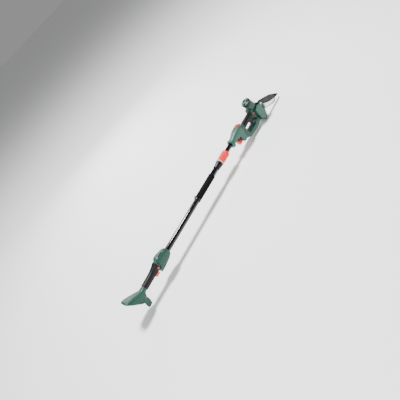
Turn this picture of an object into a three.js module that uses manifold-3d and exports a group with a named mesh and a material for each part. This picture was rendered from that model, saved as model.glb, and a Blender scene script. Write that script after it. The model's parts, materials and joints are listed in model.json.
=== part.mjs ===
// Telescoping pole saw: a battery handle, two sliding tubes with a twist lock, a head adapter and a small
// chain saw that slides onto the adapter.
// Millimetres. +X runs up the pole towards the saw, +Y to its left, +Z up, away from the triggers.
// The origin is on the pole's axis, on the outer face of the battery seat.
import * as THREE from "three";
import { mergeVertices } from "three/addons/utils/BufferGeometryUtils.js";
import Module from "manifold-3d";

const wasm = await Module();
wasm.setup();

// Clearances and walls
const gap = 0.3; // between pieces that touch
const slide = 0.4; // round a piece that slides or turns in another
const wall = 3; // moulded shells
const halfSplit = gap / 2; // each moulded half stops this far from the middle plane
const edge = 2.5; // rounding of the moulded pieces' long edges

// Battery seats: a recess under two lips that hold the battery's rails
const seat = { depth: 10.5, recess: 23, opening: 18, lip: 3.7 };
const bladeSize = { thick: 0.9, wide: 4, long: 12, offset: 10 };

// Lower handle
const footTilt = 35; // degrees the battery seat leans back
const foot = { halfWidth: 35, heel: 62, toe: 40, back: 9 };
const grip = { start: 76, end: 200, halfWidth: 15, top: 15.5, bottom: -14.5, cover: 2.6 };
const collar = { front: 294, halfWidth: 27, top: 40, bottom: -37 };
const trigger = { x: 168, length: 28, halfWidth: 7, reach: 19 };
const lockOff = { x: 191, z: 2, radius: 6, proud: 3 };
// The handle's screw is driven in from the left; seat is how far its head lies from the middle.
const handleScrew = { x: 236, z: -27, seat: 18, headRadius: 3.4 };

// Pole
const outerTube = { start: 228, end: 850, radius: 15.5, wall: 1.5 };
const innerTube = { start: 320, end: 1045, radius: 13.3, wall: 1.3, bush: 18 };
const foam = { start: 621, end: 779, radius: 18.6 };
const lock = { start: 826, end: 868, radius: 21.5, spigot: 18, sleeve: 79, sleeveRadius: 22.6, ring: 5.5 };
const flutes = 12;

// Head adapter
const flange = { start: 1001, end: 1015, radius: 27.5, z: -2 };
const headSeat = { x: 1117, tilt: 4, bottom: -62 };
const adapterHalfWidth = 27;
const buttonHalf = 11; // half the width of the release button
const clampScrew = { z: -42, knobRadius: 17, knobStart: 1050, knobLength: 20, radius: 5 };

// Saw
const sprocketCentre = { x: 1296, z: -21 };
const motorLean = 17; // degrees the motor leans back
const motor = { podRadius: 29, canRadius: 23, canStart: 42, canEnd: 76, capEnd: 94 };
const barPitch = 21; // degrees the bar points down
const bar = { y: -26, thick: 3, length: 142, rootRadius: 13.5, noseRadius: 18 };
const chain = { thick: 5, height: 7.5 };
const sawGrip = { start: 1150, end: 1243, halfWidth: 14.6, z: -7, half: 14.8 };
const sawWidth = { left: 28, right: -20 };
const guardPin = { x: 1322, z: -1, radius: 3 };
const sawTrigger = { back: 1206, front: 1234, halfWidth: 6.5, low: -52 };
const sawLockOff = { x: 1255, z: -12, radius: 5.5, proud: 3 };
const bearing = { radius: 9.5, y0: -19.5, y1: -13.5 };
const gearboxRadius = 29;
const shaftRadius = 3.2;
const barStudAt = 37; // from the sprocket's centre along the bar
const barStud = {
  x: sprocketCentre.x + barStudAt * Math.cos(THREE.MathUtils.degToRad(barPitch)),
  z: sprocketCentre.z - barStudAt * Math.sin(THREE.MathUtils.degToRad(barPitch)),
  radius: 4,
};
const gears = { module: 1.875, pinionTeeth: 8, wheelTeeth: 24, face: 7 };
const coverOuter = -40; // outer face of the sprocket cover, along Y
const barNut = { base: -35, radius: 10.5, boss: -31 };
const driveTeeth = 7;
const noseTeeth = 9;

const green = { color: 0x2f6a58, roughness: 0.45, metalness: 0 };
const lightGreen = { color: 0x5f9383, roughness: 0.45, metalness: 0 };
const black = { color: 0x151617, roughness: 0.6, metalness: 0 };
const softBlack = { color: 0x101112, roughness: 0.85, metalness: 0 };
const red = { color: 0xe2564c, roughness: 0.5, metalness: 0 };
const pale = { color: 0xd9dcd8, roughness: 0.5, metalness: 0 };
const tubeBlack = { color: 0x0c0c0e, roughness: 0.25, metalness: 0.4 };
const steel = { color: 0xc4c8cb, roughness: 0.3, metalness: 1 };
const brass = { color: 0xc9a24c, roughness: 0.35, metalness: 1 };
const copper = { color: 0xb5703d, roughness: 0.4, metalness: 1 };
const board = { color: 0x1f6b3c, roughness: 0.5, metalness: 0 };

const root = new THREE.Group();
root.position.x = foot.back;

// ---- solids ------------------------------------------------------------

// A closed three.js geometry as a manifold solid, its faces turned outwards.
function solid(geometry) {
  const bare = new THREE.BufferGeometry();
  bare.setAttribute("position", geometry.getAttribute("position").clone());
  if (geometry.index) bare.setIndex(geometry.index);
  const merged = mergeVertices(bare, 1e-4);
  const mesh = (triVerts) =>
    new wasm.Manifold(
      new wasm.Mesh({ numProp: 3, vertProperties: merged.attributes.position.array, triVerts }),
    );
  const corners = Array.from(merged.index.array);
  const kept = [];
  for (let i = 0; i < corners.length; i += 3) {
    const [a, b, c] = corners.slice(i, i + 3);
    if (a !== b && b !== c && c !== a) kept.push(a, b, c);
  }
  const made = mesh(new Uint32Array(kept));
  return made.volume() < 0 ? mesh(new Uint32Array(kept.reverse())) : made;
}

// A manifold solid as a named mesh in the group.
function part(name, body, look) {
  const mesh = body.getMesh();
  const geometry = new THREE.BufferGeometry();
  geometry.setAttribute("position", new THREE.BufferAttribute(new Float32Array(mesh.vertProperties), 3));
  geometry.setIndex(new THREE.BufferAttribute(new Uint32Array(mesh.triVerts), 1));
  const faceted = geometry.toNonIndexed();
  faceted.computeVertexNormals();
  const made = new THREE.Mesh(faceted, new THREE.MeshStandardMaterial(look));
  made.name = name;
  root.add(made);
}

const union = (bodies) => bodies.reduce((a, b) => a.add(b));
const rad = THREE.MathUtils.degToRad;
const v3 = (x, y, z) => new THREE.Vector3(x, y, z);

function box(x0, x1, y0, y1, z0, z1) {
  const geometry = new THREE.BoxGeometry(x1 - x0, y1 - y0, z1 - z0);
  return solid(geometry.translate((x0 + x1) / 2, (y0 + y1) / 2, (z0 + z1) / 2));
}

// A closed outline with its corners rounded by quadratic curves.
function outline(points, radius = 0) {
  const shape = new THREE.Shape();
  const at = (i) => new THREE.Vector2(...points[(i + points.length) % points.length]);
  points.forEach((_, i) => {
    const [before, here, after] = [at(i - 1), at(i), at(i + 1)];
    const reach = (p) => Math.min(radius, here.distanceTo(p) * 0.45);
    const start = here.clone().add(before.clone().sub(here).setLength(reach(before)));
    const end = here.clone().add(after.clone().sub(here).setLength(reach(after)));
    if (i === 0) shape.moveTo(start.x, start.y);
    else shape.lineTo(start.x, start.y);
    if (radius > 0) shape.quadraticCurveTo(here.x, here.y, end.x, end.y);
  });
  shape.closePath();
  return shape;
}

// The same corners moved inwards by a distance; the corners run anticlockwise.
function inset(points, distance) {
  const count = points.length;
  return points.map((_, i) => {
    const before = new THREE.Vector2(...points[(i + count - 1) % count]);
    const here = new THREE.Vector2(...points[i]);
    const after = new THREE.Vector2(...points[(i + 1) % count]);
    const a = here.clone().sub(before).normalize();
    const b = after.clone().sub(here).normalize();
    const turn = 1 + a.dot(b);
    return [here.x - ((a.y + b.y) / turn) * distance, here.y + ((a.x + b.x) / turn) * distance];
  });
}

// An x-z outline carried along Y, its long edges rounded when a bevel is given.
function slabY(shape, y0, y1, bevel = 0, curveSegments = 2) {
  const settings = { depth: y1 - y0 - 2 * bevel, curveSegments, bevelEnabled: bevel > 0 };
  if (bevel > 0) Object.assign(settings, { bevelSize: bevel, bevelThickness: bevel, bevelSegments: 1 });
  if (bevel > 0) settings.bevelOffset = -bevel;
  const geometry = new THREE.ExtrudeGeometry(shape, settings);
  return solid(geometry.rotateX(Math.PI / 2).translate(0, y1 - bevel, 0));
}

// A solid of revolution about the X axis through (y, z); the profile holds [x, radius] pairs.
function turned(profile, { y = 0, z = 0, sides = 20 } = {}) {
  const geometry = new THREE.LatheGeometry(
    profile.map(([x, r]) => new THREE.Vector2(r, x)),
    sides,
  );
  return solid(geometry.rotateZ(-Math.PI / 2).translate(0, y, z));
}

const rod = (x0, x1, r, place) => turned([[x0, 0], [x0, r], [x1, r], [x1, 0]], place);
const pipe = (x0, x1, r, hole, place) =>
  turned([[x0, hole], [x0, r], [x1, r], [x1, hole], [x0, hole]], place);

// Solids made about the X axis, moved to run along Y through (x, z) or up the motor's axis.
const alongY = (body, x, z) => body.rotate([0, 0, 90]).translate([x, 0, z]);
const alongMotor = (body) =>
  body.rotate([0, -90 - motorLean, 0]).translate([sprocketCentre.x, 0, sprocketCentre.z]);
const rodY = (y0, y1, r, x, z, sides = 16) => alongY(rod(y0, y1, r, { sides }), x, z);
const pipeY = (y0, y1, r, hole, x, z, sides = 16) => alongY(pipe(y0, y1, r, hole, { sides }), x, z);

// A closed skin through rings of equal count, with flat ends.
function loft(rings) {
  const count = rings[0].length;
  const positions = rings.flat().flatMap((p) => [p.x, p.y, p.z]);
  const index = [];
  for (let r = 0; r + 1 < rings.length; r++)
    for (let i = 0; i < count; i++) {
      const [a, b] = [r * count + i, r * count + ((i + 1) % count)];
      index.push(a, b, a + count, b, b + count, a + count);
    }
  const last = (rings.length - 1) * count;
  for (let i = 1; i + 1 < count; i++) index.push(0, i + 1, i, last, last + i, last + i + 1);
  const geometry = new THREE.BufferGeometry();
  geometry.setAttribute("position", new THREE.Float32BufferAttribute(positions, 3));
  geometry.setIndex(index);
  return solid(geometry);
}

// A ring between a top and a bottom point of the side view: a superellipse, squarer as the power rises.
function section({ top, bottom, half, power = 2.5 }, shrink = 0, sides = 16) {
  const up = v3(top[0] - bottom[0], 0, top[1] - bottom[1]);
  const centre = v3((top[0] + bottom[0]) / 2, 0, (top[1] + bottom[1]) / 2);
  const tall = up.length() / 2 - shrink;
  up.normalize();
  const rounded = (c) => Math.sign(c) * Math.abs(c) ** (2 / power);
  return Array.from({ length: sides }, (_, i) => {
    const angle = (2 * Math.PI * (i + 0.5)) / sides;
    const point = centre.clone().addScaledVector(up, tall * rounded(Math.cos(angle)));
    return point.add(v3(0, -(half - shrink) * rounded(Math.sin(angle)), 0));
  });
}

const lofted = (sections, shrink = 0) => loft(sections.map((s) => section(s, shrink)));

// The left or right moulded half of a shell.
function halves(names, body, look) {
  const far = 2000;
  part(names[0], body.intersect(box(-far, far, halfSplit, far, -far, far)), look);
  part(names[1], body.intersect(box(-far, far, -far, -halfSplit, -far, far)), look);
}

// A seat's own frame: +X goes into the tool, +Z up along the seat.
const toSeat = (body, tilt, x = 0, z = 0) => body.rotate([0, tilt, 0]).translate([x, 0, z]);

// What a battery seat removes from its foot: the recess and the narrower opening between its lips.
function seatCut(low, high) {
  const recess = box(seat.lip, seat.depth, -seat.recess, seat.recess, low, high);
  return recess.add(box(-5, seat.lip + 1, -seat.opening, seat.opening, low, high));
}

// ---- lower handle ------------------------------------------------------------

const footSeat = (body) => toSeat(body, -footTilt, -foot.back);

const footSections = [
  { top: [-46, 57], bottom: [15, -34], half: foot.halfWidth, power: 4 },
  { top: [-39, 60], bottom: [25, -35], half: foot.halfWidth + 1, power: 4 },
  { top: [-8, 48], bottom: [41, -32], half: foot.halfWidth - 2, power: 3.6 },
  { top: [26, 29], bottom: [53, -24], half: 26, power: 3 },
  { top: [56, 15], bottom: [65, -14], half: 17, power: 2.6 },
];
const gripSections = [
  { top: [grip.start, grip.top], bottom: [grip.start, grip.bottom], half: grip.halfWidth },
  { top: [115, grip.top + 1], bottom: [115, grip.bottom], half: grip.halfWidth },
  { top: [150, grip.top + 3], bottom: [150, grip.bottom], half: grip.halfWidth },
  { top: [176, grip.top + 8], bottom: [180, grip.bottom - 0.5], half: grip.halfWidth + 1 },
  { top: [grip.end + 2, 31], bottom: [grip.end - 4, -19], half: grip.halfWidth + 4 },
];
// where the grip's core runs on inside the collar
const gripBridge = { ...gripSections[4], top: [222, 35], bottom: [206, -21] };
const collarSections = [
  { top: [219, collar.top], bottom: [190, collar.bottom], half: collar.halfWidth - 1, power: 3 },
  { top: [232, collar.top], bottom: [215, collar.bottom + 1], half: collar.halfWidth, power: 3 },
  { top: [262, 35], bottom: [258, -31], half: collar.halfWidth - 1, power: 2.8 },
  { top: [284, 29], bottom: [284, -25], half: collar.halfWidth - 4, power: 2.5 },
  { top: [collar.front, 21], bottom: [collar.front, -19], half: collar.halfWidth - 8, power: 2.3 },
];

function hook() {
  const corners = [[24, -26], [18, -44], [14, -60], [11, -82], [19, -86], [40, -84], [47, -60], [50, -26]];
  return slabY(outline(corners, 7), -9, 9, edge);
}

function handleShells() {
  const core = lofted([...footSections, ...gripSections, gripBridge]);
  const collarBody = lofted(collarSections);
  const inside = lofted([...footSections.slice(3), ...gripSections, gripBridge], wall);
  const collarInside = lofted(collarSections.slice(1, 4), wall);
  const slot = trigger.halfWidth + slide;
  const halfTrigger = trigger.length / 2 + 1.5;
  const ventAngle = 68;
  const vents = [-1, 1].map((side) =>
    box(232, 268, -2.2, 2.2, 26, 60).rotate([side * (90 - ventAngle), 0, 0]),
  );
  const shell = union([core, hook(), collarBody])
    .subtract(inside)
    .subtract(collarInside)
    .subtract(rod(outerTube.start - gap, collar.front + 5, outerTube.radius + gap, { sides: 32 }))
    .subtract(footSeat(seatCut(-foot.toe, foot.heel)))
    .subtract(footSeat(box(seat.depth - 1, 26.5, -9, 9, -12, 12)))
    .subtract(footSeat(box(23, 38, -9, 9, -26, 1)))
    .subtract(footSeat(box(37, 44, -9, 9, -26, -4)))
    .subtract(footSeat(box(43, 52, -9, 9, -26, -14)))
    .subtract(box(trigger.x - halfTrigger, trigger.x + halfTrigger, -slot, slot, -60, 0))
    .subtract(box(trigger.x - halfTrigger, trigger.x + halfTrigger, -9.3, 9.3, -11, 0))
    .subtract(rod(200, 236, 5, { z: 4, sides: 12 }))
    .subtract(rodY(-40, 40, lockOff.radius + slide, lockOff.x, lockOff.z))
    .subtract(union(vents));
  const { x, z, seat: seatY } = handleScrew;
  const post = rodY(-seatY + wall, seatY - wall, 5, x, z, 14).intersect(core.add(collarBody));
  const hole = rodY(-seatY + 1, seatY + 20, 1.9, x, z, 8).add(
    rodY(seatY - gap, seatY + 20, handleScrew.headRadius + gap, x, z, 12),
  );
  halves(["handle_shell_left", "handle_shell_right"], shell.add(post).subtract(hole), green);
}

function handleParts() {
  const slot = trigger.halfWidth + slide + 0.6;
  const halfTrigger = trigger.length / 2 + 1.5;
  const cover = lofted(gripSections, -grip.cover)
    .subtract(lofted([footSections[4], ...gripSections, gripBridge], -gap))
    .subtract(box(trigger.x - halfTrigger - 1, trigger.x + halfTrigger + 1, -slot, slot, -60, 0))
    .subtract(rodY(-40, 40, lockOff.radius + slide + 0.6, lockOff.x, lockOff.z))
    .subtract(lofted(collarSections, -gap));
  part("handle_grip_cover", cover, softBlack);

  const block = box(0, seat.depth - gap, -12, 12, -14, 14).add(
    box(seat.depth - 1, 26, -8.5, 8.5, -11.5, 11.5),
  );
  const { thick, wide, long, offset } = bladeSize;
  const bladeAt = (y, grow) =>
    box(4 - grow, 4 + wide + grow, y - thick / 2 - grow, y + thick / 2 + grow, 6 - grow, 14 + long);
  const pockets = [-1, 1].map((s) => bladeAt((s * offset) / 2, gap / 3));
  part("battery_terminal_block", footSeat(block.subtract(union(pockets))), black);
  part("terminal_positive", footSeat(bladeAt(offset / 2, 0)), brass);
  part("terminal_negative", footSeat(bladeAt(-offset / 2, 0)), brass);

  part("handle_switch", box(146, 176, -7.5, 7.5, 2, 12).add(box(164, 168, -3, 3, 0.5, 3)), black);
  const route = new THREE.CatmullRomCurve3([v3(18, 0, 16), v3(45, 5, 9), v3(95, 6, 4), v3(145.5, 5, 7)]);
  part("supply_lead", cable(route, 2, 14), red);
  const onward = new THREE.CatmullRomCurve3([
    v3(176.8, 4, 8), v3(194, 0, 10.4), v3(212, 0, 5), v3(226, 0, 3), v3(245, 0, 0), v3(305, 0, 0),
  ]);
  part("pole_supply_lead", cable(onward, 2.4, 14), softBlack);
  const { x, z, seat: under, headRadius } = handleScrew;
  const screwHead = rodY(under, under + 3, headRadius, x, z, 12);
  const shank = rodY(under - 14, under + 0.1, 1.6, x, z, 8);
  part("handle_screw", screwHead.add(shank), steel);
}

// A round lead along a curve.
function cable(curve, radius, steps) {
  const circle = new THREE.Shape().absarc(0, 0, radius, 0, 2 * Math.PI);
  const settings = { extrudePath: curve, steps, curveSegments: 4 };
  return solid(new THREE.ExtrudeGeometry(circle, settings));
}

function handleTrigger() {
  const { x, length, halfWidth, reach } = trigger;
  const low = grip.bottom - reach;
  const [back, front] = [x - length / 2, x + length / 2];
  const face = new THREE.Shape();
  face.moveTo(back, -8);
  face.lineTo(back, low + 9);
  face.quadraticCurveTo(back + 2, low, back + 9, low);
  face.quadraticCurveTo(x + 2, low + 7, front - 6, low + 1);
  face.quadraticCurveTo(front, low + 2, front, low + 9);
  face.lineTo(front, -8);
  face.closePath();
  const blade = slabY(face, -halfWidth, halfWidth, 1.5, 5);
  const flangePlate = box(back + 1, front - 1, -8.8, 8.8, -10.5, -8.2);
  const pusher = box(x - 4, x + 2, -3, 3, -9, -6.4);
  part("handle_trigger", union([blade, flangePlate, pusher]), red);
  part("handle_trigger_spring", coil(x - 10, 0, -8, 1.6, 3, 0.5, 4), steel);
}

// A helical spring along Z.
function coil(x, y, z0, z1, radius, wire, turns) {
  const rise = z1 - z0 - 2 * wire;
  const helix = new THREE.Curve();
  helix.getPoint = (t, target = v3(0, 0, 0)) => {
    const angle = 2 * Math.PI * turns * t;
    return target.set(x + radius * Math.cos(angle), y + radius * Math.sin(angle), z0 + wire + rise * t);
  };
  const circle = new THREE.Shape().absarc(0, 0, wire, 0, 2 * Math.PI);
  const settings = { extrudePath: helix, steps: turns * 6, curveSegments: 2 };
  return solid(new THREE.ExtrudeGeometry(circle, settings));
}

function handleLockOff() {
  const end = grip.halfWidth + 4 + lockOff.proud;
  const button = rodY(-end, end, lockOff.radius, lockOff.x, lockOff.z);
  part("handle_lock_off", button.subtract(box(180, 210, -9, 9, lockOff.z + 3.5, 20)), red);
}

// ---- pole ------------------------------------------------------------

function pole() {
  const { start, end, radius } = outerTube;
  const bore = radius - outerTube.wall;
  part("outer_tube", pipe(start, end, radius, bore, { sides: 32 }), tubeBlack);

  const hole = radius + gap;
  const profile = [
    [foam.start, hole], [foam.start, foam.radius - 2.5], [foam.start + 3, foam.radius],
    [foam.end - 3, foam.radius], [foam.end, foam.radius - 2.5], [foam.end, hole], [foam.start, hole],
  ];
  part("foam_grip", turned(profile), softBlack);

  const clip = pipe(foam.start - 14, foam.start - 1, radius + 3.2, radius + gap);
  const ear = slabY(outline([[-13, 16.5], [-2, 16.5], [-2, 29], [-13, 29]], 5), -2.5, 2.5)
    .subtract(rodY(-5, 5, 3, -7.5, 24))
    .translate([foam.start, 0, 0]);
  part("strap_lug", clip.add(ear), black);

  const spigotEnd = lock.end + 40;
  const body = [
    [lock.start, radius + gap], [lock.start, radius + 2.2], [lock.start + 8, radius + 3],
    [lock.end - 6, lock.radius], [lock.end, lock.radius], [lock.end, lock.spigot], [spigotEnd, lock.spigot],
    [spigotEnd, 16.2], [end + gap, 16.2], [end + gap, radius + gap], [lock.start, radius + gap],
  ];
  part("lock_collar", turned(body), black);

  const collet = [
    [end + 8, innerTube.radius + slide], [end + 8, 15.8], [spigotEnd, 15.8], [spigotEnd + 1, 17],
    [spigotEnd + 8, 16], [spigotEnd + 8, innerTube.radius + slide], [end + 8, innerTube.radius + slide],
  ];
  const slit = box(end, spigotEnd + 20, -1.2, 1.2, 0, 30);
  part("clamp_collet", turned(collet).subtract(slit), pale);

  const sleeveStart = lock.end + gap + lock.ring + gap;
  const sleeveEnd = lock.end + lock.sleeve;
  const nut = turned([
    [sleeveStart, lock.spigot + slide], [sleeveStart, lock.sleeveRadius - 1],
    [sleeveStart + 3, lock.sleeveRadius], [sleeveEnd - 12, lock.sleeveRadius - 0.4],
    [sleeveEnd - 2, lock.sleeveRadius - 3], [sleeveEnd, lock.sleeveRadius - 5.5],
    [sleeveEnd, innerTube.radius + slide], [spigotEnd + 10, innerTube.radius + slide],
    [spigotEnd + 10, lock.spigot + slide], [sleeveStart, lock.spigot + slide],
  ], { sides: 24 });
  const grooveBody = rod(sleeveStart + 10, sleeveEnd - 14, 1.8, { sides: 4 })
    .translate([0, 0, lock.sleeveRadius + 0.6]);
  const cuts = Array.from({ length: flutes }, (_, i) => grooveBody.rotate([(360 * i) / flutes, 0, 0]));
  part("lock_sleeve", nut.subtract(union(cuts)), red);
  const ringBody = pipe(lock.end + gap, lock.end + gap + lock.ring, lock.sleeveRadius, lock.spigot + slide);
  part("sleeve_ring", ringBody, pale);
}

function innerPole() {
  const { start, end, radius, bush: bushLength } = innerTube;
  const bore = radius - innerTube.wall;
  part("inner_tube", pipe(start, end, radius, bore, { sides: 32 }), tubeBlack);
  const outside = outerTube.radius - outerTube.wall - slide / 2;
  const bush = turned([
    [start - bushLength, 5], [start - bushLength, outside], [start - gap, outside],
    [start - gap, bore - gap], [start + 15, bore - gap], [start + 15, 5], [start - bushLength, 5],
  ]);
  part("guide_bush", bush, pale);
  const lead = turned([
    [start + 16, 0], [start + 16, 8.5], [start + 330, 8.5], [start + 336, 2.6], [1078, 2.6], [1078, 0],
  ], { sides: 12 });
  part("pole_lead", lead, softBlack);
}

// ---- head adapter ------------------------------------------------------------

// The adapter's side of the seat plane, as a big block to cut with; back is how far short of it.
const behindSeat = (back) =>
  toSeat(box(-400, -back, -200, 200, -200, 200), headSeat.tilt, headSeat.x);

const adapterSections = [
  { top: [flange.end + gap, 18], bottom: [flange.end + gap, -19], half: 19, power: 2.6 },
  { top: [1034, 22], bottom: [1034, -18], half: 20, power: 2.8 },
  { top: [1066, 32], bottom: [1064, -19], half: 24, power: 3 },
  { top: [1100, 34], bottom: [1096, -23], half: adapterHalfWidth, power: 3.4 },
  { top: [1145, 31], bottom: [1140, -28], half: adapterHalfWidth, power: 3.4 },
];

function adapter() {
  const bore = innerTube.radius + gap;
  const ringHole = { sides: 32 };
  const { start, end, radius, z } = flange;
  const profile = [[start, 0], [start, radius - 4], [start + 4, radius], [end, radius], [end, 0]];
  const ring = turned(profile, { z, sides: 24 })
    .subtract(rod(start - 1, end + 1, bore, ringHole));
  part("adapter_flange", ring, green);

  const corners = [[1150, -2], [1076, -2], [1076, -54], [1084, headSeat.bottom], [1150, headSeat.bottom]];
  const block = slabY(outline(corners, 7), 1 - adapterHalfWidth, adapterHalfWidth - 1, edge);
  const outside = lofted(adapterSections).add(block).intersect(behindSeat(gap));
  const inside = lofted(adapterSections.slice(1, 5), wall)
    .add(slabY(outline(inset(corners, wall), 3), 4 - adapterHalfWidth, adapterHalfWidth - 4))
    .intersect(behindSeat(wall + 3));
  const shaft = rod(1060, 1102, clampScrew.radius + slide, { z: clampScrew.z });
  const shell = outside
    .subtract(inside)
    .subtract(rod(1000, innerTube.end + gap, bore, ringHole))
    .subtract(shaft)
    .subtract(releaseWell())
    .subtract(toSeat(box(-8, 5, -15, 15, -52, 6), headSeat.tilt, headSeat.x));
  halves(["adapter_shell_left", "adapter_shell_right"], shell, lightGreen);

  // The deck stands in for a battery: a neck between the saw's lips and wider rails behind them.
  const low = -54;
  const high = 9;
  const neck = seat.opening - gap;
  const head = seat.recess - gap;
  const { thick, wide, long, offset } = bladeSize;
  const slots = [-1, 1].map((s) => {
    const y = (s * offset) / 2;
    return box(4, 4 + wide + 1.2, y - thick, y + thick, low - 1, low + long + 1.5);
  });
  const deck = union([
    box(0, seat.lip + gap, -neck, neck, low, high),
    box(seat.lip + gap, seat.depth - gap, -head, head, low, high),
    box(-7.5, 1, -14.6, 14.6, -51.6, 5.6),
  ]).subtract(union(slots));
  part("adapter_deck", toSeat(deck, headSeat.tilt, headSeat.x), black);
}

const releaseWell = () => box(1097, 1150, -buttonHalf - slide, buttonHalf + slide, 14, 60);

function adapterButton() {
  const corners = [[1098, 30], [1100, 37.5], [1118, 38], [1138, 28], [1137, 19.5], [1120, 19.5], [1098, 26]];
  const pad = outline(corners, 2.5);
  const stem = box(1102, 1112, -4, 4, 16.5, 28);
  part("release_button", slabY(pad, -buttonHalf, buttonHalf, 1.5).add(stem), red);
}

function clampKnob() {
  const { z, knobRadius, knobStart, knobLength, radius } = clampScrew;
  const end = knobStart + knobLength;
  const knob = turned([
    [knobStart, 0], [knobStart, knobRadius - 3], [knobStart + 3, knobRadius], [end - 3, knobRadius],
    [end, knobRadius - 4], [end, 0],
  ], { z, sides: 24 });
  const lobes = 8;
  const scoop = rod(knobStart - 1, end + 1, 3.6, { z: z + knobRadius + 1.6, sides: 8 });
  const cuts = Array.from({ length: lobes }, (_, i) =>
    scoop.translate([0, 0, -z]).rotate([(360 * i) / lobes, 0, 0]).translate([0, 0, z]),
  );
  const bore = rod(knobStart + 4, end + 1, radius + gap / 2, { z });
  part("clamp_knob", knob.subtract(union(cuts)).subtract(bore), red);
  part("clamp_spindle", rod(knobStart + 4 + gap, 1100, radius, { z }), black);
}

// ---- saw ------------------------------------------------------------

const sawSeat = (body) => toSeat(body, headSeat.tilt, headSeat.x);
const aheadOfSeat = (ahead) => sawSeat(box(ahead, 400, -200, 200, -200, 200));
const alongBar = (body) => body.rotate([0, barPitch, 0]).translate([sprocketCentre.x, 0, sprocketCentre.z]);

const gripTop = sawGrip.z + sawGrip.half;
const gripLow = sawGrip.z - sawGrip.half;
const gripOuter = [
  { top: [1122, 10], bottom: [1118, -40], half: 22, power: 3.6 },
  { top: [1139, gripTop], bottom: [1135, -30], half: 18, power: 3 },
  { top: [sawGrip.start, gripTop], bottom: [sawGrip.start, gripLow], half: sawGrip.halfWidth },
  { top: [1180, gripTop + 1], bottom: [1180, gripLow + 1], half: sawGrip.halfWidth },
  { top: [1215, gripTop + 1], bottom: [1212, gripLow + 1], half: sawGrip.halfWidth },
  { top: [sawGrip.end, gripTop], bottom: [sawGrip.end, gripLow], half: sawGrip.halfWidth },
  { top: [1268, gripTop + 5], bottom: [1268, gripLow - 10], half: 18, power: 3 },
];
const footCorners = [[1100, headSeat.bottom], [1120, -67], [1143, -83], [1144, -53], [1139, 12], [1100, 12]];
const bowCorners = [[1120, -65], [1134, -82], [1222, -86], [1268, -71], [1290, -73], [1290, -47],
  [1252, -49], [1222, -59], [1141, -58]];
const coverCorners = [[1265, -32], [1276, -83], [1298, -107], [1317, -87], [1343, -11], [1333, 5], [1266, 4]];
const bodyCorners = [[1247, -37], [1262, -67], [1276, -83], [1298, -103], [1315, -86], [1338, -15],
  [1328, 9], [1306, 19], [1246, 21]];
const insetBody = inset(bodyCorners, wall);

function sawShells() {
  const halfFoot = adapterHalfWidth;
  const footBody = slabY(outline(footCorners, 8), -halfFoot, halfFoot, edge);
  const beside = box(coverCorners[0][0] - gap, 1400, -60, sawWidth.right, -200, 200);
  const bow = slabY(outline(bowCorners, 9), 1 - halfFoot, halfFoot - 1, edge).subtract(beside);
  const bowInside = slabY(outline(inset(bowCorners, wall + 2), 4), 5 - halfFoot, halfFoot - 5);
  const body = slabY(outline(bodyCorners, 8), sawWidth.right, sawWidth.left, edge);
  const bodyInside = slabY(outline(insetBody, 4), sawWidth.right + wall, sawWidth.left - wall);
  const pod = alongMotor(rod(35, motor.capEnd - 17, motor.podRadius, { sides: 28 }));
  const podInside = alongMotor(rod(38, motor.capEnd, motor.podRadius - wall, { sides: 28 }));
  const inside = union([lofted(gripOuter.slice(1), wall), bodyInside, podInside, bowInside]);
  const { back, front } = sawTrigger;
  const triggerSlot = sawTrigger.halfWidth + slide;
  const shell = union([footBody, bow, body, pod, lofted(gripOuter)])
    .intersect(aheadOfSeat(0))
    .subtract(inside)
    .subtract(sawSeat(seatCut(-55, 60)))
    .subtract(sawSeat(box(3.7, seat.depth, -14.5, 14.5, -60, -54)))
    .subtract(box(back - 1, front + 1, -triggerSlot, triggerSlot, sawGrip.z - 48, sawGrip.z))
    .subtract(box(back - 1, front + 1, -8.7, 8.7, gripLow + 3.5, sawGrip.z))
    .subtract(rodY(-60, 60, sawLockOff.radius + slide, sawLockOff.x, sawLockOff.z))
    .subtract(rodY(-60, -10, bearing.radius + gap, sprocketCentre.x, sprocketCentre.z, 28))
    .subtract(rodY(-60, 0, barStud.radius + gap, barStud.x, barStud.z, 14))
    .subtract(rodY(-60, 0, guardPin.radius + gap, guardPin.x, guardPin.z, 14));
  halves(["saw_shell_left", "saw_shell_right"], shell, green);
}

function sawParts() {
  const slot = sawTrigger.halfWidth + slide + 0.6;
  const coverRings = gripOuter.slice(2, 6);
  const cover = lofted(coverRings, -grip.cover)
    .subtract(lofted(gripOuter.slice(1), -gap))
    .subtract(box(sawTrigger.back - 2, sawTrigger.front + 2, -slot, slot, sawGrip.z - 48, sawGrip.z))
    .subtract(rodY(-60, 60, sawLockOff.radius + slide + 0.6, sawLockOff.x, sawLockOff.z));
  part("saw_grip_cover", cover, softBlack);

  const { thick, wide, long, offset } = bladeSize;
  const block = box(4, seat.depth - gap, -14.2, 14.2, -59.7, -55.3);
  const bladeAt = (y, grow) =>
    box(4.6 - grow, 4.6 + wide + grow, y - thick / 2 - grow, y + thick / 2 + grow, -58, -56 + long);
  const pockets = [-1, 1].map((s) => bladeAt((s * offset) / 2, gap / 3));
  part("saw_terminal_block", sawSeat(block.subtract(union(pockets))), black);
  part("saw_terminal_positive", sawSeat(bladeAt(offset / 2, 0)), brass);
  part("saw_terminal_negative", sawSeat(bladeAt(-offset / 2, 0)), brass);
  part("saw_switch", box(1203, 1232, -6, 6, sawGrip.z + 1.5, sawGrip.z + 10.5), black);
  part("control_board", box(1266, 1284, 18, 19.6, -65, -17), board);
}

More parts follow.
